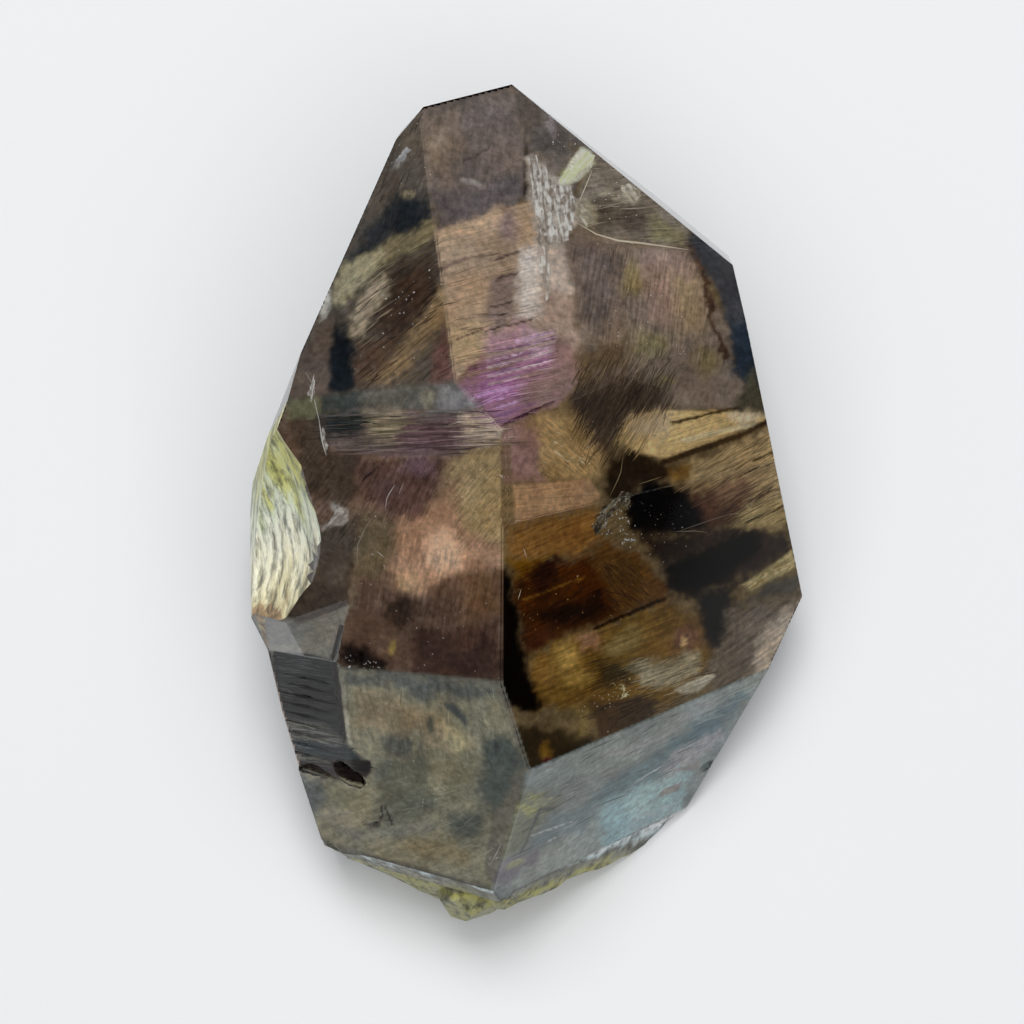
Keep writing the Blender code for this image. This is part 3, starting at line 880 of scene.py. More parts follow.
def painted(tint, straight, wandering, grit, text):
    """Paints the lines of a drawing list over linear colours.

    A soft edge is frayed: its share s gains FRAY s (1 - s) grit.
    """
    for (shape, hex_colour, soft, *extra), places, sizes, step in drawn(text):
        soft = float(soft) * step
        ground = straight if soft < CRISP else wandering
        soft = soft if soft < CRISP else SOFTEN * soft
        span = 0.0 if shape == "patch" else sizes[1].max() if shape == "oval" else float(extra[0]) * step
        marks = places[:1] if shape == "oval" else places
        near = ((ground > marks.min(0) - soft - span) & (ground < marks.max(0) + soft + span)).all(1)
        if shape == "patch":
            share = patch(ground[near], places, soft)
        elif shape == "oval":
            eased = min(SOFTEST, soft / sizes[1].min())
            share = oval(ground[near], places[0], sizes[1], float(extra[0]), eased)
        else:
            share = band(ground[near], places[0], places[1], span, min(SOFTEST, soft / span))
        if ground is wandering:
            share = ease(share + FRAY * share * (1.0 - share) * grit[near], 0.0, 1.0)
        tint[near] += share[:, None] * (linear(hex_colour) - tint[near])
    return tint


def plane_heights(x, y, depth=0.0):
    """Heights of all the faces that look up, as endless planes lowered by a depth, over places x, y."""
    x, y = np.asarray(x), np.asarray(y)
    return np.stack([(o - depth - n[0] * x - n[1] * y) / n[2] for n, o in zip(front_normals, front_offsets)])


def all_faces(plan, heights):
    """Colours of plan points: each face is painted alone and cut out where its planes are the lowest."""
    flat = plan.reshape(-1, 2)
    heights = heights.reshape(len(heights), -1)
    straight = shifted(flat, SMALL_SHIFTS, STEP_SEED)
    wandering = shifted(flat, LARGE_SHIFTS, EDGE_SEED)
    grit = cloud(on_plan(flat), GRIT, GRIT_SEED, octaves=4)
    tint = np.zeros((len(flat), 3))
    for text, base, seats in FACES:
        mine = [int(plane_heights(*seat).argmin()) for seat in seats]
        rest = [number for number in range(len(heights)) if number not in mine]
        share = ease(heights[rest].min(0) - heights[mine].min(0), -FACE_EDGE, FACE_EDGE)
        near = share > 0.0
        plain = np.tile(linear(base), (near.sum(), 1))
        face = painted(plain, straight[near], wandering[near], grit[near], text)
        tint[near] += share[near, None] * (face - tint[near])
    return painted(tint, straight, wandering, grit, LEDGE).reshape(plan.shape[:-1] + (3,))


print(sum(len(list(drawn(text))) for text, _, _ in FACES) + len(list(drawn(LEDGE))), "zones")

# %% [markdown]
# ## The main veil
#
# The drawn layers are laid on one thin sheet that follows the faces, three tenths of a millimetre
# under them, and dips under the ledge and the scar where the stone is dug out. It has to lie
# shallow: quartz bends what is deeper away from the edges of its face, and the crisp corners that
# a layered crystal shows would be lost. It never goes below the middle of the stone, and it keeps
# off the steep walls. Clouds darken and lighten the sheet, and in its material noise that is drawn
# out along each zone's growth lines gives it fibres.

# %% Veils


def soft_min(values, blend):
    """The least value along the first axis, with the corners between two of them rounded."""
    least = values.min(0)
    return least - blend * np.log(np.exp(-(values - least) / blend).sum(0))


HUG = 0.3                     # millimetres under the surface where the stone is dug out below its faces
DUG = 0.15                    # millimetres: stone this much lower than its faces is dug out
STEEPEST = 0.3                # the sheet follows no wall that looks up less than this
BLEND = 0.05                  # millimetres of rounding where the sheet turns from face to face


def veil_sheet(depth):
    """A sheet at a depth below the faces that look up, or just under a dug-out surface.

    Returns its spots, where they show on the plan, and the heights of the lowered planes over them.
    """
    up = front_normals
    heights = plane_heights(map_x, map_y, depth)
    face = heights.argmin(0)
    height = np.maximum(soft_min(heights, BLEND), 0.5 * (top + underside))
    down_y, down_x = np.gradient(top, STEP)
    local = unit(np.stack([-down_x, -down_y, np.ones_like(top)], -1))
    hugging = top - HUG / local[..., 2]
    dug = (hugging < height) & (top < plane_heights(map_x, map_y).min(0) - DUG) & (local[..., 2] > STEEPEST)
    height = np.where(dug, hugging, height)
    spot = np.stack([map_x, map_y, height], -1)
    below = np.where(dug, HUG, front_offsets[face] - (spot * up[face]).sum(-1))
    normal = np.where(dug[..., None], local, up[face])
    return spot, seen_at(spot, normal, below[..., None]), heights


def add_piece(name, mesh, material):
    """Puts a mesh into the scene as a part of the crystal."""
    mesh.polygons.foreach_set("use_smooth", [True] * len(mesh.polygons))
    mesh.materials.append(material)
    piece = bpy.data.objects.new(name, mesh)
    bpy.context.scene.collection.objects.link(piece)
    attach(piece, "root")
    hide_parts(NODE)
    print(name, len(mesh.polygons), "faces")


def cells_of(keep):
    """The square cells of a grid whose four corners are all kept, as rows of point numbers."""
    number = np.arange(keep.size).reshape(keep.shape)
    cell = keep[:-1, :-1] & keep[1:, :-1] & keep[:-1, 1:] & keep[1:, 1:]
    return np.stack([number[:-1, :-1], number[:-1, 1:], number[1:, 1:], number[1:, :-1]], -1)[cell]


DUST_GRAIN = 0.4545 * MM      # metres
layered, tree, shader = new_material("healed_layers")
tint = add(tree, "ShaderNodeAttribute", {"attribute_name": "tint"})
flow = add(tree, "ShaderNodeAttribute", {"attribute_name": "flow"})
force = add(tree, "ShaderNodeAttribute", {"attribute_name": "force"})
place = add(tree, "ShaderNodeTexCoord")
fine = add(tree, "ShaderNodeTexNoise", Vector=place.outputs["Object"], Scale=1.0 / DUST_GRAIN, Detail=3.0,
           Roughness=0.6)
fibre = add(tree, "ShaderNodeTexNoise", Vector=flow.outputs["Vector"], Scale=1.0, Detail=5.0, Roughness=0.66)
ribs = add(tree, "ShaderNodeMapRange", Value=fibre, From_Min=NOISE_LOW, From_Max=NOISE_HIGH,
           To_Min=-1.0, To_Max=1.0)
deep = add(tree, "ShaderNodeMath", {"operation": "MULTIPLY_ADD"}, _0=ribs, _1=force.outputs["Fac"], _2=1.0)
dust = add(tree, "ShaderNodeMapRange", Value=fine, From_Min=NOISE_LOW, From_Max=NOISE_HIGH,
           To_Min=0.72, To_Max=1.28)
both = add(tree, "ShaderNodeMath", {"operation": "MULTIPLY"}, _0=deep, _1=dust)
colour = add(tree, "ShaderNodeVectorMath", {"operation": "SCALE"}, _0=tint.outputs["Color"], Scale=both)
tree.links.new(colour.outputs[0], shader.inputs["Base Color"])
shader.inputs["Roughness"].default_value = 0.8
shader.inputs["Specular IOR Level"].default_value = 0.0

# strength of the fibres, their heading in degrees, length and width in millimetres | corners
FIBRES = """
UL
0.35 60 2.0 0.35 | 400,130 720,150 790,690 600,800 380,870
0.45 38 2.4 0.30 | 385,862 775,622 860,1310 450,1360 365,1050
0.25 80 2.0 0.5 | 735,170 1165,120 1165,552 790,688
0.28 14 2.2 0.20 | 788,690 1192,552 1240,930 1230,1080 860,1200
0.55 13 2.6 0.13 | 870,1320 860,1200 1300,1080 1330,1390 1060,1520
UR
0.45 82 1.8 0.22 | 300,740 830,770 960,1250 540,1250 330,1080
0.5 5 1.6 0.25 | 405,352 965,795 800,760 520,727 325,640
0.85 62 1.6 0.085 | 330,1250 720,1200 760,1420 640,1568 300,1568
MR
0.75 60 1.5 0.08 | 440,60 860,90 860,200 720,400 480,420 430,200
0.42 18 2.5 0.16 | 860,182 1310,213 1326,226 1130,300 930,372 860,400
0.7 30 2.6 0.14 | 950,445 1332,280 1425,700 1180,740 980,560
0.5 -40 1.0 0.18 | 270,220 540,220 540,480 280,500
0.3 4 2.0 0.14 | 143,527 500,500 545,590 155,702
0.5 25 2.0 0.22 | 140,720 600,640 860,1010 700,1100 190,1270 150,960
0.75 -40 1.6 0.09 | 560,900 700,880 770,1060 600,1120
0.5 22 2.4 0.28 | 225,1300 860,1060 1050,1330 1000,1450 800,1560 240,1560
0.7 32 3.0 0.16 | 1180,1000 1450,830 1455,910 1250,1012
0.5 35 2.5 0.30 | 1050,1340 1150,1110 1480,1040 1330,1400 1070,1502
LR
0.75 20 2.5 0.13 | 600,200 1060,160 1165,260 900,470 700,440
0.4 27 3.0 0.22 | 275,742 1300,300 1420,240 1180,525 960,740 300,1000
0.3 35 1.2 0.4 | 560,905 1060,745 960,985 640,1150 200,1260
ML
0.85 3 3.4 0.11 | 390,195 1172,185 1262,350 1000,405 430,392
0.3 60 1.6 0.5 | 390,108 1050,60 1172,185 390,195
0.5 55 1.6 0.25 | 235,242 430,392 560,660 540,900 370,765 280,400
0.5 62 1.8 0.25 | 560,400 950,420 900,760 720,740 560,680
0.5 50 1.0 0.2 | 950,420 1255,350 1294,700 1262,860 1040,860
0.45 80 1.8 0.35 | 720,740 1040,860 1240,930 1262,1400 520,1120
LL
1.0 -6 4.0 0.08 | 155,150 430,190 500,420 520,600 380,585 170,380
0.8 -7 3.2 0.09 | 215,560 520,600 640,745 520,800 240,700
0.35 100 1.6 0.45 | 480,245 1255,330 1372,640 900,700 545,620
0.35 20 1.6 0.5 | 400,1080 270,740 900,760 1240,930 1240,1310
ML
0.3 20 1.8 0.3 | 62,1170 240,1226 517,1120 458,1392 150,1332
"""
PLAIN_GRAIN = (1.6, 0.9)      # millimetres across and up, where no zone of fibres is drawn
PLAIN_FORCE = 0.22            # and the strength there
APART = 7.0                   # each zone reads its noise this much deeper than the one before


def flowing(plan, text):
    """Coordinates that run along each zone's fibres, and how strongly the fibres show there."""
    flat = plan.reshape(-1, 2)
    flow = np.c_[flat / PLAIN_GRAIN, np.zeros(len(flat))]
    force = np.full(len(flat), PLAIN_FORCE)
    for number, (words, corners, _, _) in enumerate(drawn(text)):
        strength, heading, length, width = map(float, words)
        mine = within(flat, corners)
        turn = math.radians(heading)
        along = flat[mine] @ (math.cos(turn), math.sin(turn))
        aside = flat[mine] @ (-math.sin(turn), math.cos(turn))
        flow[mine] = np.c_[along / length, aside / width, np.full(mine.sum(), APART * number)]
        force[mine] = strength
    return flow, force


GLASS_SHARE = 0.33            # of the light a white sheet sends up, this much comes straight out
RETURN_SHARE = 0.58           # and this much of the rest is thrown back on it
PALEST = 0.93                 # no sheet sends back more of the light than this


def under_quartz(colour):
    """The sheet colour that shows as the wished colour through quartz, which traps part of its light."""
    shown = colour / (GLASS_SHARE + RETURN_SHARE * colour)
    return shown * np.minimum(1.0, PALEST / np.maximum(shown.max(-1, keepdims=True), TINY))


VEIL_DEPTH = 0.3              # millimetres
CLOUD_EDGE_SEED = 45          # seed for the uneven edges of the clouds
CLOUDS = (
    # strength as a power of e, size in millimetres, seed, octaves, and how red, green and blue follow
    (0.42, 1.6, 40, 5, (1.0, 1.0, 1.0)),      # puffs of smoke
    (0.20, 0.4, 80, 4, (1.0, 1.0, 1.0)),      # small mottles among them
    (0.12, 2.1, 60, 3, (1.0, 0.1, -1.0)),     # a drift between warm and cool
)
spot, plan, heights = veil_sheet(VEIL_DEPTH)
inside = well_inside(spot, reach=0.0)
picture = all_faces(plan, heights)
uneven = shifted(plan, LARGE_SHIFTS, CLOUD_EDGE_SEED)
for strength, grain, seed, octaves, follow in CLOUDS:
    picture *= np.exp(strength * cloud(on_plan(uneven), grain, seed, octaves)[..., None] * follow)
quads = cells_of(inside)
used, index = np.unique(quads, return_inverse=True)
veil = bpy.data.meshes.new("colour_layers")
veil.from_pydata(spot.reshape(-1, 3)[used] * MM, [], index.reshape(-1, 4).tolist())
flow, force = flowing(plan, FIBRES)
shown = np.c_[under_quartz(picture).reshape(-1, 3)[used], np.ones(len(used))]
veil.attributes.new("tint", "FLOAT_COLOR", "POINT").data.foreach_set("color", shown.ravel())
veil.attributes.new("flow", "FLOAT_VECTOR", "POINT").data.foreach_set("vector", flow[used].ravel())
veil.attributes.new("force", "FLOAT", "POINT").data.foreach_set("value", force[used])
add_piece("colour_layers", veil, layered)

# %% [markdown]
# ## Hair lines
#
# Fine growth lines, fibres and hair cracks lie inside the stone as threads a twentieth of a
# millimetre wide. Each is a flat tapered ribbon that faces the eye, laid on the plan and sunk to
# its depth. They are scattered over patches of the plan with a seeded generator. A thread is
# lighter or darker than the layer that it lies in, so it takes its colour from there.

# %% Threads and cracks
TONES = {                     # least and most of the layer's light that a thread sends up
    "dark": (0.3, 0.75), "pale": (1.1, 1.7), "bright": (2.0, 5.0), "white": (2.5, 7.0),
}
# count, heading and its spread in degrees, length, width, depth, tone | corners
THREADS = """
UR
260 62 7 1.5 0.05 0.21 pale | 330,1230 720,1190 760,1420 640,1568 300,1568
260 62 7 1.6 0.06 0.19 dark | same
MR
150 60 8 1.5 0.05 0.21 pale | 440,60 860,90 860,200 720,400 480,420 430,200
220 60 8 1.6 0.06 0.19 dark | same
ML
60 3 1.5 3.4 0.09 0.21 dark | 390,200 1172,190 1262,350 1000,405 430,392
70 3 1.5 3.0 0.06 0.21 pale | same
MR
70 30 6 2.2 0.07 0.21 pale | 950,445 1332,280 1425,700 1180,740 980,560
70 30 6 2.2 0.08 0.19 dark | same
60 14 5 1.6 0.06 0.21 pale | 700,212 1310,213 1326,226 1130,300 850,402 640,320
70 -42 9 1.3 0.05 0.21 dark | 580,900 740,880 780,1060 600,1120
50 -42 9 1.3 0.06 0.19 dark | same
UL
60 13 4 1.7 0.05 0.21 pale | 870,1320 900,1180 1290,1110 1330,1390 1060,1520
60 13 4 1.7 0.06 0.19 pale | 900,1320 950,1220 1290,1180 1330,1390 1060,1500
40 13 4 1.4 0.06 0.21 dark | 800,800 1140,760 1240,1060 860,1200
LL
90 -6 1.5 2.0 0.06 0.11 white | 165,160 400,190 450,420 380,460 180,400
50 -6 1.5 1.6 0.09 0.10 dark | 165,160 400,190 440,420 380,460 180,400
60 -9 2 1.8 0.06 0.11 bright | 205,470 480,590 490,620 240,640
40 -9 2 2.6 0.08 0.10 dark | 205,470 515,590 620,760 400,740 240,660
LR
90 22 7 1.8 0.06 0.21 pale | 560,200 1060,160 1165,260 900,470 480,460
70 22 7 1.8 0.07 0.19 dark | same
UR
60 78 8 0.9 0.05 0.21 pale | 300,740 830,780 900,1180 600,1250 330,1100
LR
60 27 4 2.2 0.06 0.21 pale | 275,742 1300,300 1200,500 960,740 200,1150
60 27 4 2.0 0.07 0.19 dark | same
ML
26 62 14 1.0 0.035 0.21 pale | 560,440 950,430 960,600 800,740 580,700
40 62 14 1.0 0.04 0.19 dark | same
50 48 24 0.5 0.04 0.21 pale | 980,440 1250,380 1290,700 1262,850 1080,760
30 75 12 0.8 0.035 0.21 pale | 720,740 1040,700 1200,860 1000,990 780,1010
24 70 16 0.8 0.035 0.21 dark | 520,1000 1240,960 1250,1400 560,1400
LL
40 98 14 1.0 0.035 0.21 pale | 480,300 1255,370 1340,640 900,900 560,700
30 98 14 1.0 0.04 0.19 dark | same
40 20 14 1.6 0.06 0.21 pale | 400,1000 700,880 1200,960 1200,1200 600,1080
MR
40 -38 20 0.6 0.04 0.21 pale | 270,220 540,220 540,480 300,490
70 35 12 1.4 0.05 0.21 dark | 200,880 700,900 700,1060 200,1250
UL
60 38 6 1.8 0.06 0.21 dark | 450,870 770,720 840,1290 480,1340
60 38 6 1.8 0.07 0.19 dark | same
40 65 8 1.4 0.06 0.21 dark | 400,800 620,300 720,170 740,600
UR
50 6 6 1.6 0.06 0.21 pale | 400,400 700,560 900,760 690,740 400,680
"""
LINE_DEPTH = 0.17             # millimetres
# width of the line in millimetres, its colour | its corners
LINES = """
UR
0.13 #c9bd9f | 322,645 360,672 400,695 455,700 490,722 560,728 690,746 800,762
0.06 #ded6bd | 330,570 360,500 392,420
UL
0.07 #2a1620 | 1058,1512 1110,1480 1180,1450 1290,1402
ML
0.05 #d8d3c8 | 310,10 352,60 355,150 375,230 385,320 410,400
0.09 #e6e2d8 | 330,110 345,60 352,20
0.10 #c9c3b6 | 375,235 385,300 395,360 410,405
0.05 #cfc9c0 | 690,660 700,600 740,540
0.06 #8f857d | 755,590 778,535
0.04 #94897f | 560,930 555,840 600,740 635,695
0.05 #bfb6aa | 650,860 685,890
MR
0.05 #3b2113 | 155,702 250,672 480,624
0.04 #c9b08a | 135,712 160,690 200,690
0.05 #7f6b48 | 590,580 640,480 655,390
0.05 #6f5d3c | 720,525 830,490
0.05 #5f5345 | 910,745 1100,680 1220,650
0.05 #6f6250 | 900,745 1000,742 1050,750
LR
0.03 #e2e2e2 | 742,802 860,725 970,652
0.05 #c3cbc8 | 275,1030 380,990 480,958
LL
0.06 #2b2725 | 690,905 702,950 690,985 650,1010
0.07 #2b2725 | 710,912 725,950 746,1000
0.05 #a8a294 | 480,250 492,330 503,420 520,600 570,640 650,700
0.05 #6d6a60 | 365,960 440,970 560,940
0.05 #6d6a60 | 640,950 700,990 850,1000
LR
0.04 #d8d8dc | 100,1160 125,1110 150,1060
0.05 #3a3e37 | 400,893 340,890 300,960 265,1060 240,1110
MR
0.05 #b8b09a | 200,820 215,865
0.05 #d6c08a | 175,1060 190,1010
"""
TAPER = np.array([0.15, 0.7, 1.0, 1.0, 0.7, 0.15])      # share of its width that a ribbon has along its way
SHALLOW = 0.22                # a thread lies at least this many millimetres straight below the surface
CLEARANCE = 0.08              # millimetres of clear quartz over and under every small part
LENGTHS = (0.4, 1.4)          # least and greatest share of the given length
WIDTHS = (0.6, 1.4)           # and of the given width
BOW = 0.12                    # how far a thread bows, as a share of its length
THROWS = 40                   # throws for each part that is wanted
LUCK_SEED = 20                # another seed scatters the threads and grains in other places


def ribbons(paths, widths, depths):
    """Flat strips along paths: each point is moved to both sides by half the width, then sunk."""
    along = np.gradient(paths, axis=1)
    across = np.stack([-along[..., 1], along[..., 0]], -1)
    across /= np.maximum(np.linalg.norm(across, axis=-1, keepdims=True), TINY)
    half = 0.5 * widths[..., None, None] * TAPER[None, :, None] * across
    both = np.stack([paths - half, paths + half], 2)
    flat = both.reshape(-1, 2)
    spots, _ = sink(flat, np.broadcast_to(depths[:, None, None], both.shape[:3]).reshape(-1))
    spots[:, 2] = np.minimum(spots[:, 2], read_map(top, spots[:, 0], spots[:, 1]) - SHALLOW)
    count, steps = paths.shape[:2]
    first = np.arange(count * steps * 2).reshape(count, steps, 2)
    quads = np.stack([first[:, :-1, 0], first[:, :-1, 1], first[:, 1:, 1], first[:, 1:, 0]], -1)
    return spots, quads.reshape(-1, 4)


def scatter(count, corners, dice_box):
    """Random plan places inside a patch: many are thrown into its box, and the first inner ones are kept."""
    thrown = dice_box.uniform(corners.min(0), corners.max(0), (THROWS * count, 2))
    return thrown[within(thrown, corners)][:count]


def loose_piece(name, parts, material):
    """A piece from many small parts (spots, faces, colours), with faces outside the stone left out."""
    starts = np.cumsum([0] + [len(spots) for spots, _, _ in parts[:-1]])
    spots = np.concatenate([part[0] for part in parts])
    faces = np.concatenate([part[1] + start for part, start in zip(parts, starts)])
    colours = np.concatenate([part[2] for part in parts])
    keep = well_inside(spots, CLEARANCE)[faces].all(1)
    used, index = np.unique(faces[keep], return_inverse=True)
    mesh = bpy.data.meshes.new(name)
    mesh.from_pydata(spots[used] * MM, [], index.reshape(-1, faces.shape[1]).tolist())
    tint = mesh.attributes.new("tint", "FLOAT_COLOR", "POINT")
    tint.data.foreach_set("color", np.c_[colours[used], np.ones(len(used))].ravel())
    add_piece(name, mesh, material)


def tinted(name, roughness, specular):
    """A material that takes its colour from the mesh."""
    material, tree, shader = new_material(name)
    tint = add(tree, "ShaderNodeAttribute", {"attribute_name": "tint"})
    tree.links.new(tint.outputs["Color"], shader.inputs["Base Color"])
    shader.inputs["Roughness"].default_value = roughness
    shader.inputs["Specular IOR Level"].default_value = specular
    return material


fibrous = tinted("fine_fibres", 0.6, 0.1)
luck = np.random.default_rng(LUCK_SEED)
share = np.linspace(0.0, 1.0, len(TAPER))
parts = []
for words, corners, _, _ in drawn(THREADS):
    count, heading, spread, length, width, depth = map(float, words[:-1])
    start = scatter(int(count), corners, luck)
    count = len(start)
    turn = np.radians(heading + spread * luck.normal(0.0, 1.0, count))
    ahead = np.c_[np.cos(turn), np.sin(turn)]
    run = length * luck.uniform(*LENGTHS, count)
    bow = BOW * length * luck.normal(0.0, 1.0, count)
    paths = start[:, None] + (share - 0.5)[None, :, None] * (run[:, None] * ahead)[:, None]
    side = np.c_[-ahead[:, 1], ahead[:, 0]]
    paths = paths + (share * (1.0 - share))[None, :, None] * (bow[:, None] * side)[:, None]
    spots, quads = ribbons(paths, width * luck.uniform(*WIDTHS, count), np.full(count, depth))
    light = luck.uniform(*TONES[words[-1]], count)[:, None]
    tints = under_quartz(read_map(picture, start[:, 0], start[:, 1]) * light)
    parts.append((spots, quads, np.repeat(tints, 2 * len(TAPER), 0)))
for (width, hex_colour), corners, _, _ in drawn(LINES):
    run = np.r_[0.0, np.cumsum(np.linalg.norm(np.diff(corners, axis=0), axis=1))]
    at = np.linspace(0.0, run[-1], len(TAPER))
    path = np.c_[np.interp(at, run, corners[:, 0]), np.interp(at, run, corners[:, 1])][None]
    spots, quads = ribbons(path, np.array([float(width)]), np.array([LINE_DEPTH]))
    parts.append((spots, quads, np.tile(under_quartz(linear(hex_colour)), (len(spots), 1))))
loose_piece("hair_lines", parts, fibrous)

# %% [markdown]
# ## Silvery cracks and flakes
#
# Where the stone cracked and only partly healed, thin films of air are left. They are crumpled
# mirrors, and their looks are painted: a pale tone with light and dark streaks, partly the crack's
# own whitish colour and partly painted reflection. The grey flake near the top left and the film on
# the red spot are painted highlights. Each film is a fine grid over a patch of the plan, torn along
# its creases and sunk to a depth that is roughened with ridged noise.

# %% Crumpled films
# depth, relief and grain in millimetres, heading of the creases in degrees, light, dark | corners
FILMS = """
UR
0.15 0.13 0.17 98 #fbf7ef #655a50 | 113,362 160,350 195,400 230,480 300,490 330,560 325,650 290,720 \
    262,745 160,745 150,700 130,500
0.15 0.11 0.17 95 #f3ece0 #7d7166 | 160,742 205,742 222,860 212,960 190,985 170,900
0.17 0.09 0.30 50 #fdfdea #bcc48a | 345,330 410,352 400,420 330,470 255,492 248,468 310,380
0.19 0.11 0.20 -50 #d6cfba #6f6654 | 500,480 560,475 600,540 570,570 520,530
0.19 0.11 0.20 -50 #cfc6b0 #6f6654 | 330,560 370,570 415,645 360,672 325,640
0.19 0.09 0.20 0 #a39a84 #6a604e | 380,515 480,505 500,530 400,540
ML
0.17 0.11 0.20 40 #cfc9c0 #6f655d | 395,755 430,690 450,640 512,650 520,690 470,745
MR
0.17 0.15 0.20 50 #8a8068 #1d160b | 500,730 560,640 640,560 712,555 690,640 645,640 600,700 560,770
0.13 0.11 0.15 20 #f2f6f8 #6a7274 | 645,765 700,782 745,788 740,802 700,802 662,788
0.19 0.09 0.20 24 #cfc6ae #8a7f68 | 898,1474 1050,1402 1088,1410 1000,1482 940,1492
0.19 0.09 0.20 32 #c9b078 #6f5a32 | 1215,990 1440,835 1453,905 1330,975 1250,1012
LL
0.08 0.06 0.12 50 #ffffff #b9b9b9 | 512,238 560,175 588,140 582,180 548,232
0.08 0.06 0.12 80 #ffffff #b9b9b9 | 598,245 612,200 622,225 632,268 612,262
0.08 0.05 0.12 -20 #ffffff #b9b9b9 | 678,245 705,258 700,270
0.08 0.05 0.12 -20 #ffffff #c9c9c9 | 1220,262 1232,262 1238,290 1226,290
UL
0.17 0.09 0.20 40 #b9b9ba #77767a | 585,405 640,350 680,316 684,342 640,388
ML
0.15 0.09 0.15 80 #f6f4ee #6f675e | 318,120 334,60 346,5 358,60 350,140 332,165
0.15 0.09 0.15 80 #ece6da #6a6157 | 372,228 388,232 412,300 424,405 398,408 384,300
MR
0.19 0.11 0.18 -40 #ecd39a #86683c | 285,280 345,300 400,380 490,400 505,440 400,432 330,370
ML
0.19 0.11 0.15 -50 #f0dca4 #8e6f4d | 1180,680 1200,680 1225,730 1205,735
0.19 0.11 0.15 -40 #f6eac0 #8e6f4d | 1190,480 1230,478 1270,500 1255,525 1215,510
LL
0.17 0.09 0.12 20 #b9b496 #7f7b62 | 925,800 1010,800 1025,860 950,860
LR
0.15 0.13 0.20 30 #c3dfe5 #86aab2 | 780,930 980,860 970,960 850,1070 720,1110
MR
0.19 0.09 0.12 0 #e8b878 #a86038 | 908,1250 945,1250 942,1285 912,1282
0.17 0.09 0.12 70 #f6e6a0 #6a5a2c | 640,1440 665,1445 690,1500 670,1522 650,1500
LR
0.17 0.09 0.15 30 #a9a870 #6d6f58 | 225,860 330,835 420,840 400,880 300,900
0.09 0.08 0.12 60 #f2f2f4 #8f8f94 | 100,1180 115,1130 150,1090 145,1140
"""
FILM_STEP = 0.06              # millimetres
RIM = 0.2                     # millimetres over which the edge of a film thins out
RAGGED = 0.22                 # millimetres that the outline of a film strays
RAGGED_SIZE = 0.5             # millimetres between its notches
HEALED = 0.8                  # the film is kept where the patch passes this
TEARS = 0.6                   # plus this much noise, drawn out along the creases
FLECKS = 0.7                  # strength of the small spots in its shade
FLECK_SIZE = 0.25             # millimetres
DARK_END = -0.35              # shade noise at which the film is fully dark
LIGHT_END = 0.9               # and fully light
TEAR_LENGTH = 4.0             # grains along its tears and the streaks of its shade
CREASE_LENGTH = 3.0           # grains along its creases
SHADE_WIDTH = 0.7             # grains across the streaks of its shade
FILM_SEED = 300               # seed of the first film
SEEDS_APART = 11              # and how far on the next film's seed is


def film(words, corners, seed):
    """A crumpled sheet over a patch: spots, square cells and colours. Ridged noise is one minus its size."""
    depth, relief, grain, heading = map(float, words[:4])
    light, dark = map(linear, words[4:])
    low_corner, high_corner = corners.min(0) - RIM, corners.max(0) + RIM
    steps = (np.arange(low_corner[axis], high_corner[axis], FILM_STEP) for axis in (0, 1))
    plan = np.stack(np.meshgrid(*steps), -1)
    uneven = plan.copy()
    for axis in (0, 1):
        uneven[..., axis] += RAGGED * cloud(on_plan(plan), RAGGED_SIZE, seed + axis, octaves=4)
    torn = HEALED + TEARS * streaks(plan, heading, TEAR_LENGTH * grain, grain, seed + 3)
    keep = patch(uneven, corners, RIM) > torn
    crease = 1.0 - abs(streaks(plan, heading, CREASE_LENGTH * grain, grain, seed + 5))
    # painted reflection and shade: the film goes from dark to light with this noise, not with how its creases
    # face the light
    shade = streaks(plan, heading, TEAR_LENGTH * grain, SHADE_WIDTH * grain, seed + 9)
    shade += FLECKS * cloud(on_plan(plan), FLECK_SIZE, seed + 15, octaves=4)
    shade = ease(shade, DARK_END, LIGHT_END)[..., None]
    colour = under_quartz(dark + shade * (light - dark))
    spots, _ = sink(plan.reshape(-1, 2), (depth + relief * (1.0 - crease)).ravel())
    return spots, cells_of(keep), colour.reshape(-1, 3)


parts = [film(words, corners, FILM_SEED + SEEDS_APART * number)
         for number, (words, corners, _, _) in enumerate(drawn(FILMS))]
loose_piece("silvery_films", parts, tinted("silvery_crack", 0.35, 0.4))
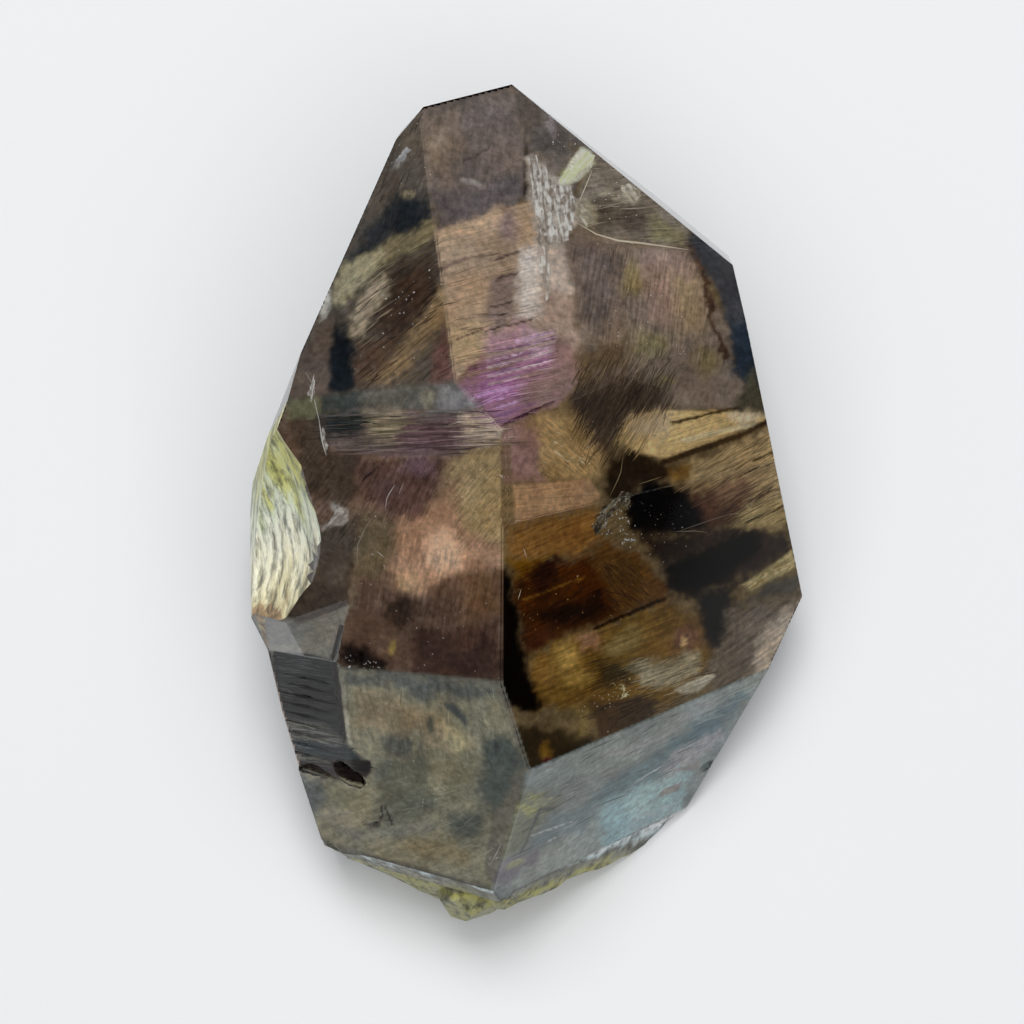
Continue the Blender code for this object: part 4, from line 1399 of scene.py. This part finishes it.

# %% [markdown]
# ## Specks
#
# Tiny bright inclusions show as points. Each is an eight-sided grain painted pale, partly in its own
# colour and partly as a painted glint, and their places are again scattered over patches of the plan.

# %% Bright grains
# count, least and greatest radius, depth, colour | corners
SPECKS = """
UL
26 0.03 0.07 0.21 #e9e6df | 450,800 830,700 860,1280 380,1280
10 0.05 0.10 0.21 #f2efe8 | 540,850 730,960 700,1090 560,1050
14 0.03 0.06 0.21 #d9d3c6 | 560,300 740,200 780,560 640,560
UR
40 0.03 0.07 0.21 #ddd6c6 | 400,700 800,770 860,1200 420,1250
MR
30 0.03 0.08 0.21 #efe3b8 | 270,220 520,230 540,600 280,640
60 0.04 0.10 0.17 #e8e4d8 | 500,700 560,640 710,560 700,700 780,790 690,820 600,780
30 0.03 0.06 0.17 #a8a294 | 700,600 960,600 960,900 740,900
24 0.03 0.06 0.21 #c99a50 | 150,900 560,830 700,1200 200,1250
24 0.04 0.09 0.17 #f0d98a | 600,1440 700,1420 700,1522 610,1522
LR
18 0.04 0.08 0.17 #e6d8a0 | 500,370 700,350 740,400 520,480
ML
40 0.03 0.07 0.21 #e6d3a0 | 980,440 1260,400 1290,720 1240,830 1080,760
20 0.03 0.06 0.21 #cfc6bd | 520,700 760,600 700,1100 540,1000
18 0.03 0.06 0.21 #b3a9a0 | 560,1150 1240,1100 1230,1480 560,1380
LL
30 0.04 0.09 0.17 #e9e6df | 500,180 600,160 720,240 600,270
40 0.03 0.07 0.21 #cfcab4 | 560,380 1130,500 1130,900 700,800
20 0.03 0.07 0.21 #bdb9ab | 900,780 1050,820 1000,900 880,920
LR
30 0.03 0.07 0.21 #dfe3da | 480,560 1130,360 1100,480 560,760
30 0.03 0.07 0.21 #d9d98f | 220,850 440,830 420,920 180,1100
24 0.03 0.07 0.21 #e3e8e6 | 400,700 600,680 560,900 420,860
UR
20 0.03 0.07 0.21 #e6e0d8 | 180,180 330,240 320,360 220,360
16 0.04 0.08 0.21 #f0ece2 | 370,430 600,480 590,660 340,640
"""
STRETCH = (0.5, 1.3)          # least and greatest share of its radius that a grain has along each axis
GRAIN_CORNERS = np.array([(1, 0, 0), (-1, 0, 0), (0, 1, 0), (0, -1, 0), (0, 0, 1), (0, 0, -1)], float)
GRAIN_FACES = np.array([(0, 2, 4), (2, 1, 4), (1, 3, 4), (3, 0, 4),
                        (2, 0, 5), (1, 2, 5), (3, 1, 5), (0, 3, 5)])
parts = []
for words, corners, _, _ in drawn(SPECKS):
    count, least, greatest, depth = map(float, words[:4])
    start = scatter(int(count), corners, luck)
    count = len(start)
    middle, _ = sink(start, np.full(count, depth))
    radius = least + (greatest - least) * luck.uniform(0.0, 1.0, count) ** 2
    stretch = luck.uniform(*STRETCH, (count, 1, 3))
    spots = middle[:, None] + radius[:, None, None] * stretch * GRAIN_CORNERS
    faces = (GRAIN_FACES + 6 * np.arange(count)[:, None, None]).reshape(-1, 3)
    parts.append((spots.reshape(-1, 3), faces, np.tile(under_quartz(linear(words[4])), (6 * count, 1))))
loose_piece("bright_grains", parts, fibrous)
